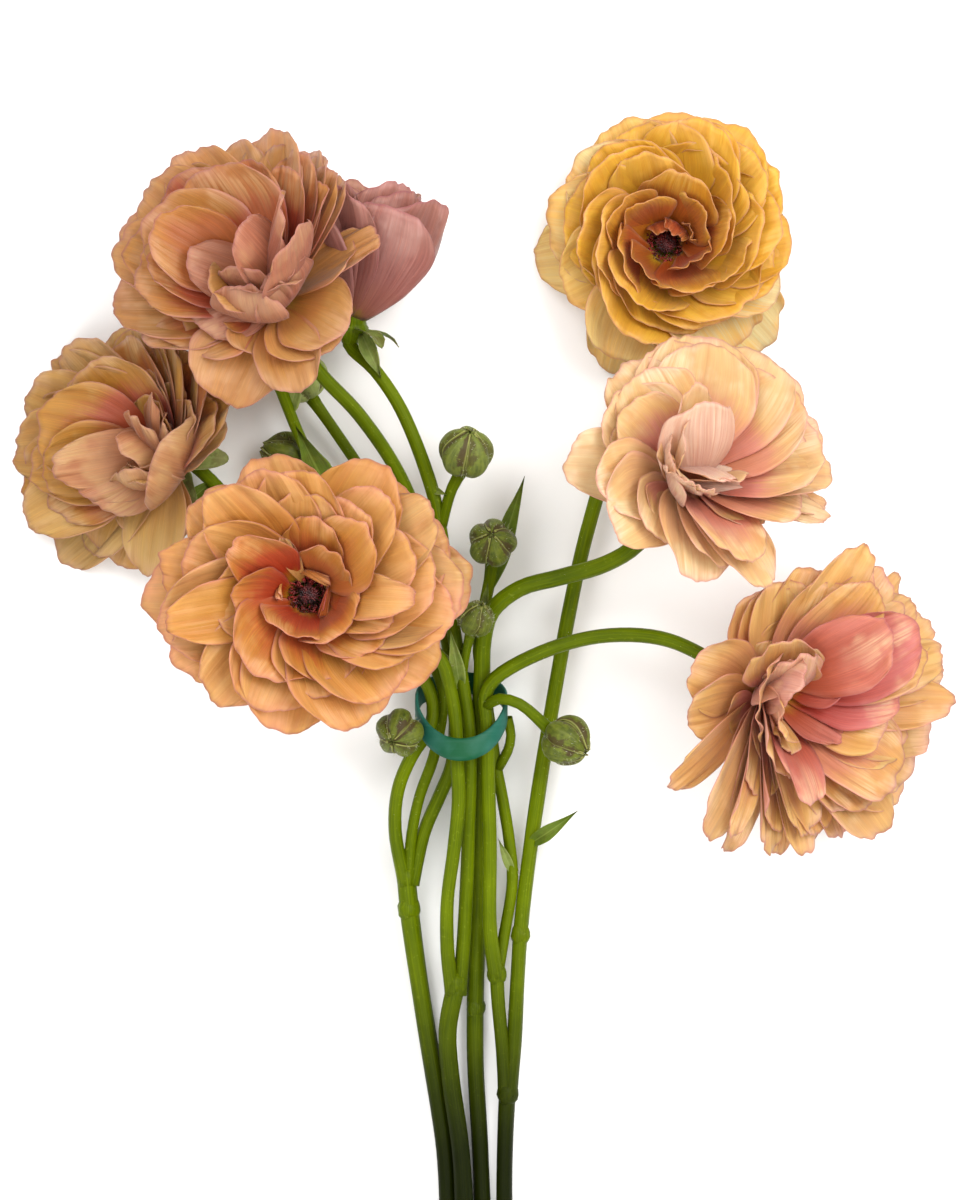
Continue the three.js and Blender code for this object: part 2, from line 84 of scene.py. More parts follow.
# The drawing's middle is off the part's by this much, read from where the tie sits
metre = 0.001
low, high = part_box("tie")
drawingOffset = (low + high) / 2 - Vector(tie["centre"]) * metre
drawingOffset.z = 0
toMetres = Matrix.Translation(drawingOffset) @ Matrix.Scale(metre, 4)
tableClear = 0.3  # nothing is lower than this
fullTurn = 6.2832
seeds = {"stems": 100, "buds": 200, "eyes": 300}


# An sRGB code as a linear colour
def paint(code):
    parts = [int(code[i : i + 2], 16) / 255 for i in (1, 3, 5)]
    return (*[p / 12.92 if p < 0.04045 else ((p + 0.055) / 1.055) ** 2.4 for p in parts], 1)


def smoothStep(low, high, value):
    share = min(1, max(0, (value - low) / (high - low)))
    return share * share * (3 - 2 * share)


def facingPlace(at, facing):
    axis = Vector(facing).normalized()
    up = Vector((0, 1, 0))
    up = (up - axis * up.dot(axis)).normalized()
    place = Matrix((up.cross(axis), up, axis)).transposed().to_4x4()
    place.translation = Vector(at)
    return place


def spherePoint(polar, azimuth):
    return Vector((math.sin(polar) * math.cos(azimuth), math.sin(polar) * math.sin(azimuth), math.cos(polar)))


def gaussVector(rng):
    return Vector((rng.gauss(0, 1), rng.gauss(0, 1), rng.gauss(0, 1)))


def facesOf(verts):
    return list({face for vert in verts for face in vert.link_faces})


def newBlades():
    bm = bmesh.new()
    return bm, bm.loops.layers.uv.new("bladeUv"), bm.verts.layers.float_color.new("bladeTint")


# A flat grid from -1 to 1 each way, with its place on the blade in the UV map
def addBladeGrid(bm, cells, uvLayer):
    verts = bmesh.ops.create_grid(bm, x_segments=cells[0], y_segments=cells[1], size=1)["verts"]
    faces = facesOf(verts)
    for face in faces:
        for loop in face.loops:
            loop[uvLayer].uv = ((loop.vert.co.x + 1) / 2, (loop.vert.co.y + 1) / 2)
    return verts, faces


def thicken(bm, faces, thickness, index):
    for item in bmesh.ops.solidify(bm, geom=faces, thickness=thickness)["geom"]:
        if isinstance(item, bmesh.types.BMFace):
            item.material_index = index


def finishPiece(name, bm, nodes, materials, thickness=0):
    for vert in bm.verts:
        vert.co.z = max(vert.co.z, tableClear)
    bmesh.ops.transform(bm, matrix=toMetres, verts=bm.verts)
    mesh = bpy.data.meshes.new(name)
    bm.to_mesh(mesh)
    bm.free()
    for material in materials:
        mesh.materials.append(material)
    mesh.shade_smooth()
    piece = bpy.data.objects.new(name, mesh)
    bpy.context.scene.collection.objects.link(piece)
    if thickness:
        wall = piece.modifiers.new("wall", "SOLIDIFY")
        wall.thickness = thickness * metre
        wall.offset = 0
        wall.material_offset = len(materials) - 1
    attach(piece, "root")
    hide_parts(*nodes)
    print("made", name, len(mesh.polygons), "faces")


# The nodes of the materials
def addNode(tree, kind, inputs=None, **settings):
    node = tree.nodes.new(kind)
    for key, value in settings.items():
        setattr(node, key, value)
    for key, value in (inputs or {}).items():
        if isinstance(value, bpy.types.NodeSocket):
            tree.links.new(value, node.inputs[key])
        else:
            node.inputs[key].default_value = value
    return node


def outOf(tree, kind, inputs=None, **settings):
    return addNode(tree, kind, inputs, **settings).outputs[0]


def mathOf(tree, operation, first, second=0.5, third=0.5):
    return outOf(tree, "ShaderNodeMath", {0: first, 1: second, 2: third}, operation=operation)


def timesOf(tree, first, second):
    return mathOf(tree, "MULTIPLY", first, second)


def rangeOf(tree, value, low, high, toLow=0.0, toHigh=1.0, smooth=False):
    inputs = {"Value": value, "From Min": low, "From Max": high, "To Min": toLow, "To Max": toHigh}
    return outOf(tree, "ShaderNodeMapRange", inputs, interpolation_type="SMOOTHSTEP" if smooth else "LINEAR")


def mixOf(tree, factor, first, second, blend="MIX"):
    first, second = [paint(side) if isinstance(side, str) else side for side in (first, second)]
    inputs = {0: factor, 6: first, 7: second}
    node = addNode(tree, "ShaderNodeMix", inputs, data_type="RGBA", blend_type=blend)
    return node.outputs[2]


def noiseOf(tree, vector, scale, detail=2.0, roughness=0.5):
    inputs = {"Vector": vector, "Scale": scale, "Detail": detail, "Roughness": roughness}
    return outOf(tree, "ShaderNodeTexNoise", inputs)


def joinOf(tree, x, y, z):
    return outOf(tree, "ShaderNodeCombineXYZ", {0: x, 1: y, 2: z})


def bumpOf(tree, height, strength, distance, below=None):
    inputs = {"Strength": strength, "Distance": distance, "Height": height}
    if below is not None:
        inputs["Normal"] = below
    return outOf(tree, "ShaderNodeBump", inputs)


def rampOf(tree, value, stops):
    node = addNode(tree, "ShaderNodeValToRGB", {0: value})
    elements = node.color_ramp.elements
    while len(elements) < len(stops):
        elements.new(0.5)
    for element, (position, code) in zip(elements, stops):
        element.position = position
        element.color = paint(code)
    return node.outputs[0]


def objectSpot(tree):
    return addNode(tree, "ShaderNodeTexCoord").outputs["Object"]


def newMaterial(name):
    material = bpy.data.materials.new(name)
    material.use_nodes = True
    material.node_tree.nodes.clear()
    return material, material.node_tree


def finishMaterial(tree, shader):
    addNode(tree, "ShaderNodeOutputMaterial", {"Surface": shader})


# The place on a blade, u across and v along, with how far it is from the midrib, and the blade's own tint
def bladeSpot(tree):
    spot = addNode(tree, "ShaderNodeSeparateXYZ", {0: outOf(tree, "ShaderNodeUVMap", uv_map="bladeUv")})
    tint = addNode(tree, "ShaderNodeAttribute", attribute_name="bladeTint")
    parts = addNode(tree, "ShaderNodeSeparateColor", {0: tint.outputs["Color"]})
    u, v = spot.outputs[0], spot.outputs[1]
    across = mathOf(tree, "ABSOLUTE", mathOf(tree, "MULTIPLY_ADD", u, 2.0, -1.0))
    far = timesOf(tree, parts.outputs[0], 60.0)
    return u, v, across, far, (*parts.outputs, tint.outputs["Alpha"])


# Noise drawn out along the blade, by its counts across and along
def grainOf(tree, u, v, far, counts, detail, roughness=0.5):
    place = joinOf(tree, timesOf(tree, u, counts[0]), timesOf(tree, v, counts[1]), far)
    return noiseOf(tree, place, 1.0, detail, roughness)


# Petals
petalForm = {
    "start": 3.2, "startStep": 0.7, "claw": 0.16, "rounding": 0.2, "shoulder": 0.74, "cup": 0.45,
    "roll": 0.2, "bend": 1.0, "curl": 0, "twist": 0, "sway": 0, "warp": 1.2, "ruffle": 0.8, "ruffles": 2.6,
    "scallop": 0.05, "blush": 1.0, "pale": 0.0, "shift": 0.0, "cells": (26, 16), "thickness": 0.18,
}
# What all petals share: how far a rim may reach, how they narrow near the rim, and how their edges wave
petalEdge = {
    "mostReach": 1.06, "narrowing": 0.35, "narrowFrom": 0.6, "wave": 0.1, "waves": 3.2, "crinkle": 0.7,
}


def midribOf(petal, steps=24):
    spread, rise, line = petal["start"], petal["height"], []
    for step in range(steps + 1):
        share = step / steps
        angle = petal["base"] + (petal["tip"] - petal["base"]) * share ** petal["bend"]
        angle = math.radians(angle + petal["curl"] * smoothStep(0.6, 1, share))
        line.append((spread, rise, angle))
        spread += math.sin(angle) * petal["length"] / steps
        rise += math.cos(angle) * petal["length"] / steps
    return line


def addPetal(bm, place, petal, uvLayer, tintLayer, rng):
    petal = {**petalForm, **petal}
    verts, faces = addBladeGrid(bm, petal["cells"], uvLayer)
    tint = (rng.random(), petal["blush"], petal["pale"], petal["shift"])
    azimuth = math.radians(petal["azimuth"])
    outwards = Vector((math.cos(azimuth), math.sin(azimuth), 0))
    sideways = Vector((math.sin(azimuth), -math.cos(azimuth), 0))
    axis = Vector((0, 0, 1))
    line = midribOf(petal)
    seed, phase = 50 * rng.random(), 6 * rng.random()
    leftEdge, rightEdge = 20 * rng.random(), 20 * rng.random()
    for vert in verts:
        u, v = vert.co.x, (vert.co.y + 1) / 2
        # how far along the midrib this place is, and the midrib's own place there
        rag = noise.noise((1.6 * u + seed, seed, 0)) + 0.5 * noise.noise((5 * u, seed, 3))
        rim = 1 + petal["scallop"] * rag * v
        reach = min(petalEdge["mostReach"], v * (1 - petal["rounding"] * abs(u) ** 2.2) * rim)
        step = min(len(line) - 1.001, reach * (len(line) - 1))
        before, after, share = line[int(step)], line[int(step) + 1], step - int(step)
        share += max(0, reach - 1) * (len(line) - 1)
        spread, rise, angle = [a + (b - a) * share for a, b in zip(before, after)]
        # how wide the petal is there
        widening = math.sin(math.pi / 2 * min(1, v / petal["shoulder"]))
        beyond = max(0, (v - petalEdge["narrowFrom"]) / 0.4)
        widening *= math.sqrt(1 - petalEdge["narrowing"] * beyond**3)
        edge = leftEdge if u < 0 else rightEdge
        widening *= 1 + petalEdge["wave"] * abs(u) * noise.noise((petalEdge["waves"] * v + edge, edge, 1))
        half = petal["width"] / 2 * (petal["claw"] + (1 - petal["claw"]) * widening)
        # its cup across, and what lifts it off the plain curve
        turn = u * petal["cup"]
        lift = half * ((1 - math.cos(turn)) / petal["cup"] + petal["roll"] * u)
        lift += petal["warp"] * v * noise.noise((1.1 * u + seed, 1.4 * v, seed))
        frill = math.sin(petal["ruffles"] * u * math.pi + phase)
        lift += petal["ruffle"] * v**2.5 * (0.35 + abs(u)) * frill
        lift += petalEdge["crinkle"] * v**3 * noise.noise((5 * u + seed, 2 * v, seed))
        side = half * math.sin(turn) / petal["cup"]
        twist = math.radians(petal["twist"]) * v
        cosine, sine = math.cos(twist), math.sin(twist)
        side, lift = side * cosine - lift * sine, side * sine + lift * cosine
        side += petal["sway"] * petal["length"] * v * v
        inwards = -math.cos(angle) * outwards + math.sin(angle) * axis
        vert.co = place @ (outwards * spread + axis * rise + sideways * side + inwards * lift)
        vert[tintLayer] = tint
    return verts


# Two of these set how strong the painted shade in the pleat creases and the painted highlight are
petalSurface = {
    "veins": (56.0, 1.6), "fine": (120.0, 2.4), "pleats": (9.0, 0.9), "broad": 70.0, "crumple": 240.0,
    "shiftTo": 0.4, "through": 0.45, "translucent": 0.42, "rim": 0.55, "paintedFoldShade": 0.24, "satin": 0.75,
}


def petalMaterial(name, look, outer):
    material, tree = newMaterial(name)
    form = petalSurface
    u, v, across, far, (tone, blush, pale, shift) = bladeSpot(tree)
    veins = grainOf(tree, u, v, far, form["veins"], 3.0, 0.6)
    fine = grainOf(tree, u, v, far, form["fine"], 2.0, 0.6)
    broad = noiseOf(tree, objectSpot(tree), form["broad"], 3.0)
    pleats = grainOf(tree, u, v, far, form["pleats"], 1.0)
    # how far along the petal its colours reach, with ragged fronts that follow the veins
    reach = mathOf(tree, "ADD", v, rangeOf(tree, veins, 0.2, 0.8, -0.13, 0.13))
    reach = mathOf(tree, "ADD", reach, rangeOf(tree, broad, 0.2, 0.8, -0.16, 0.16))
    reach = mathOf(tree, "MULTIPLY_ADD", across, 0.12, reach)
    reach = timesOf(tree, reach, rangeOf(tree, shift, 0.0, 1.0, 1.0, form["shiftTo"]))
    stops = list(look["outer" if outer else "inner"].items())
    blushed = rampOf(tree, reach, stops)
    plain = rampOf(tree, reach, [stops[0], (0.3, stops[-2][1]), stops[-1]])
    colour = mixOf(tree, blush, plain, blushed)
    gilded = timesOf(tree, tone, rangeOf(tree, shift, 0.0, 1.0, 0.25 if outer else 0.6, 0.1))
    colour = mixOf(tree, gilded, colour, look["second"])
    colour = mixOf(tree, timesOf(tree, pale, rangeOf(tree, v, 0.1, 0.9, 0.3, 1.0)), colour, look["pale"])
    # veins, painted shade in the pleat creases, and a painted glossy highlight on the outer part
    streak = rangeOf(tree, veins, 0.3, 0.7, 0.0, 0.7 if outer else 0.42)
    colour = mixOf(tree, streak, colour, look["outerVein" if outer else "innerVein"], "MULTIPLY")
    # painted shade: darker and more orange along the troughs of the pleat bump, growing towards the rim
    paintedFoldShade = timesOf(tree, rangeOf(tree, pleats, 0.35, 0.6, form["paintedFoldShade"], 0.0), rangeOf(tree, v, 0.3, 0.8))
    colour = mixOf(tree, paintedFoldShade, colour, look["deep"], "MULTIPLY")
    colour = mixOf(tree, rangeOf(tree, fine, 0.5, 0.7, 0.0, 0.5), colour, look["light"], "SOFT_LIGHT")
    # painted highlight: a pale colour laid in broad patches on the outer part of the petal, along the veins
    highlightPatches = rangeOf(tree, broad, 0.47, 0.62, 0.0, form["satin"], True)
    satin = timesOf(tree, highlightPatches, rangeOf(tree, v, 0.5, 0.92))
    colour = mixOf(tree, timesOf(tree, satin, rangeOf(tree, veins, 0.35, 0.6)), colour, look["satin"])
    colour = mixOf(tree, 1.0, colour, look["tint"], "MULTIPLY")
    # the thin line along the rim, and the soft blush beside it
    rimTop = rangeOf(tree, v, 0.98, 0.996, 0.0, 1.0, True)
    rimSide = rangeOf(tree, across, 0.975, 0.995, 0.0, 1.0, True)
    rimSide = timesOf(tree, rimSide, rangeOf(tree, v, 0.3, 0.6))
    rim = timesOf(tree, mathOf(tree, "MAXIMUM", rimTop, rimSide), form["rim"])
    colour = mixOf(tree, rim, colour, look["rim"])
    nearRim = mathOf(tree, "MAXIMUM", rangeOf(tree, v, 0.8, 1.0), rangeOf(tree, across, 0.75, 1.0))
    softRim = timesOf(tree, mathOf(tree, "POWER", nearRim, 2.0), rangeOf(tree, broad, 0.4, 0.62, 0.0, 0.6))
    colour = mixOf(tree, softRim, colour, look["softRim"])
    bump = bumpOf(tree, mathOf(tree, "MULTIPLY_ADD", fine, 0.5, veins), 0.3, 0.0004)
    bump = bumpOf(tree, noiseOf(tree, objectSpot(tree), form["crumple"], 2.0), 0.25, 0.0006, bump)
    bump = bumpOf(tree, timesOf(tree, pleats, v), 0.5, 0.0025, bump)
    surface = outOf(tree, "ShaderNodeBsdfPrincipled", {
        "Base Color": colour, "Roughness": rangeOf(tree, fine, 0.3, 0.7, 0.27, 0.44), "Normal": bump,
        "Specular IOR Level": 0.35, "Sheen Weight": 0.15, "Sheen Roughness": 0.4,
    })
    through = mixOf(tree, form["through"], colour, look["through"])
    glow = outOf(tree, "ShaderNodeBsdfTranslucent", {"Color": through, "Normal": bump})
    finishMaterial(tree, outOf(tree, "ShaderNodeMixShader", {0: form["translucent"], 1: surface, 2: glow}))
    return material


petalKinds = {
    "outer": {"base": 60, "tip": 90, "height": 0.8, "start": 3.2, "blush": 0.35},
    "fan": {"base": 52, "tip": 78, "height": 1.8, "start": 3.9},
    "middle": {"base": 44, "tip": 66, "height": 2.8, "start": 4.6},
    "inner": {"base": 34, "tip": 54, "height": 3.8, "start": 5.3, "cells": (22, 14)},
    "back": {"base": 0, "tip": -30, "height": 3, "start": 4.5, "blush": 0.15},
}
openRings = [
    {"count": 6, "length": 0.68, "width": 0.66, "base": 40, "tip": 60, "height": 4},
    {"count": 5, "length": 0.5, "width": 0.46, "base": 32, "tip": 48, "height": 5, "cells": (18, 14)},
]
cuppedRings = [
    {"count": 6, "length": 1.0, "width": 0.8, "base": 42, "tip": 10, "height": 1.2},
    {"count": 6, "length": 0.98, "width": 0.7, "base": 34, "tip": 8, "height": 2.4},
    {"count": 5, "length": 0.94, "width": 0.6, "base": 24, "tip": 2, "height": 3.4},
    {"count": 5, "length": 0.88, "width": 0.5, "base": 14, "tip": 0, "height": 4.4},
]
ballRings = [
    {"count": 6, "length": 0.82, "width": 0.86, "base": 67, "tip": 40, "height": 2.8},
    {"count": 5, "length": 0.74, "width": 0.76, "base": 57, "tip": 28, "height": 3.8, "shift": 0.2},
    {
        "count": 5, "length": 0.64, "width": 0.62, "base": 47, "tip": 16, "height": 4.8, "shift": 0.7,
        "cells": (18, 14),
    },
    {
        "count": 4, "length": 0.5, "width": 0.46, "base": 37, "tip": 6, "height": 5.6, "shift": 0.8,
        "cells": (16, 12),
    },
]

# The colours along a petal's face and back, from its foot to its rim, and what is laid over them, among them
# a pale painted highlight and the deep colour of the painted shade in the pleat creases
looks = {
    "A": {
        "inner": {0.02: "#b08a20", 0.16: "#98200c", 0.48: "#b05448", 0.7: "#c29450", 0.95: "#cfb084"},
        "outer": {0.02: "#a88428", 0.14: "#a8402c", 0.4: "#ba7672", 0.75: "#c28680", 0.95: "#caa09a"},
        "tint": "#f8e8d2", "through": "#ffe2c4", "softRim": "#c08478", "deep": "#cc8c5c", "satin": "#e0c4a0",
        "second": "#c4a054", "pale": "#d8bd88", "innerVein": "#e4b898", "outerVein": "#c49088",
        "light": "#ffe8c8", "rim": "#a8606a",
    },
    "B": {
        "inner": {0.02: "#b09028", 0.13: "#b85a40", 0.36: "#bc7264", 0.58: "#c48c64", 0.95: "#d0a880"},
        "outer": {0.02: "#a89030", 0.1: "#b0705c", 0.4: "#b0736c", 0.75: "#b37a72", 0.95: "#bb8c80"},
        "tint": "#f2f8f8", "through": "#ffdcd4", "softRim": "#b87c78", "deep": "#b87068", "satin": "#d8a89c",
        "second": "#b87c6c", "pale": "#d2b29b", "innerVein": "#e0b8a0", "outerVein": "#c4908c",
        "light": "#ffe0d0", "rim": "#98505e",
    },
    "C": {
        "inner": {0.02: "#b48e24", 0.15: "#a0301a", 0.44: "#b8645a", 0.64: "#be9446", 0.95: "#ccb476"},
        "outer": {0.02: "#ac8428", 0.14: "#b0482c", 0.45: "#bc807a", 0.75: "#c49282", 0.95: "#ccaa8c"},
        "tint": "#fcecd8", "through": "#fff0cc", "softRim": "#c09078", "deep": "#cc9054", "satin": "#dcc898",
        "second": "#c09840", "pale": "#cfc088", "innerVein": "#e4bc94", "outerVein": "#c89488",
        "light": "#fff0c8", "rim": "#a8606a",
    },
    "D": {
        "inner": {0.02: "#bc9420", 0.18: "#a8280c", 0.4: "#c05840", 0.6: "#d0964e", 0.95: "#ecc48c"},
        "outer": {0.02: "#b08428", 0.16: "#c06c38", 0.5: "#c47c44", 0.75: "#cc8c54", 0.95: "#d29c68"},
        "tint": "#f0e4c4", "through": "#ffdcb4", "softRim": "#d8907c", "deep": "#d48c50", "satin": "#f4cc9c",
        "second": "#e0b060", "pale": "#dcc094", "innerVein": "#ecc09c", "outerVein": "#d8a48c",
        "light": "#ffeccc", "rim": "#a8606a",
    },
    "E": {
        "inner": {0.02: "#b09418", 0.12: "#90100c", 0.32: "#b04c40", 0.5: "#d09838", 0.95: "#ecc868"},
        "outer": {
            0.02: "#b48c20", 0.14: "#ac1c18", 0.36: "#c46c5c",
            0.55: "#cc8c3c", 0.75: "#cc9440", 0.95: "#d4a458",
        },
        "tint": "#fffccc", "through": "#ffe090", "softRim": "#d8a070", "deep": "#d09038", "satin": "#ecc878",
        "second": "#e2b642", "pale": "#e2e0dc", "innerVein": "#ecc48c", "outerVein": "#d8a074",
        "light": "#fff0c0", "rim": "#c08478",
    },
    "F": {
        "inner": {0.02: "#cc9c38", 0.14: "#c85c48", 0.42: "#dc8c80", 0.62: "#e4bc7e", 0.95: "#eed4a2"},
        "outer": {0.02: "#d09c48", 0.14: "#d89080", 0.45: "#eec4ba", 0.75: "#f2d2c8", 0.95: "#f4dccc"},
        "tint": "#f8ffff", "through": "#fff0dc", "softRim": "#e8a898", "deep": "#e4ac80", "satin": "#fbe8c0",
        "second": "#ecc07c", "pale": "#e2c89c", "innerVein": "#f0c8a8", "outerVein": "#dca498",
        "light": "#fff2d8", "rim": "#b87070",
    },
    "G": {
        "inner": {0.02: "#c89828", 0.14: "#b03028", 0.42: "#cc7474", 0.7: "#dcb062", 0.95: "#dec480"},
        "outer": {0.02: "#c0442c", 0.16: "#c8685c", 0.45: "#d89490", 0.75: "#e4aca0", 0.95: "#e8bcac"},
        "tint": "#fcffff", "through": "#ffe0d0", "softRim": "#d8988c", "deep": "#d08c64", "satin": "#f0d4a4",
        "second": "#e4bc6c", "pale": "#caae76", "innerVein": "#ecbc9c", "outerVein": "#d89490",
        "light": "#ffeed8", "rim": "#b05c68",
    },
}


# A petal whose red and gold reach further along it
def flushed(shift, **others):
    return {"blush": 1, "shift": shift, **others}


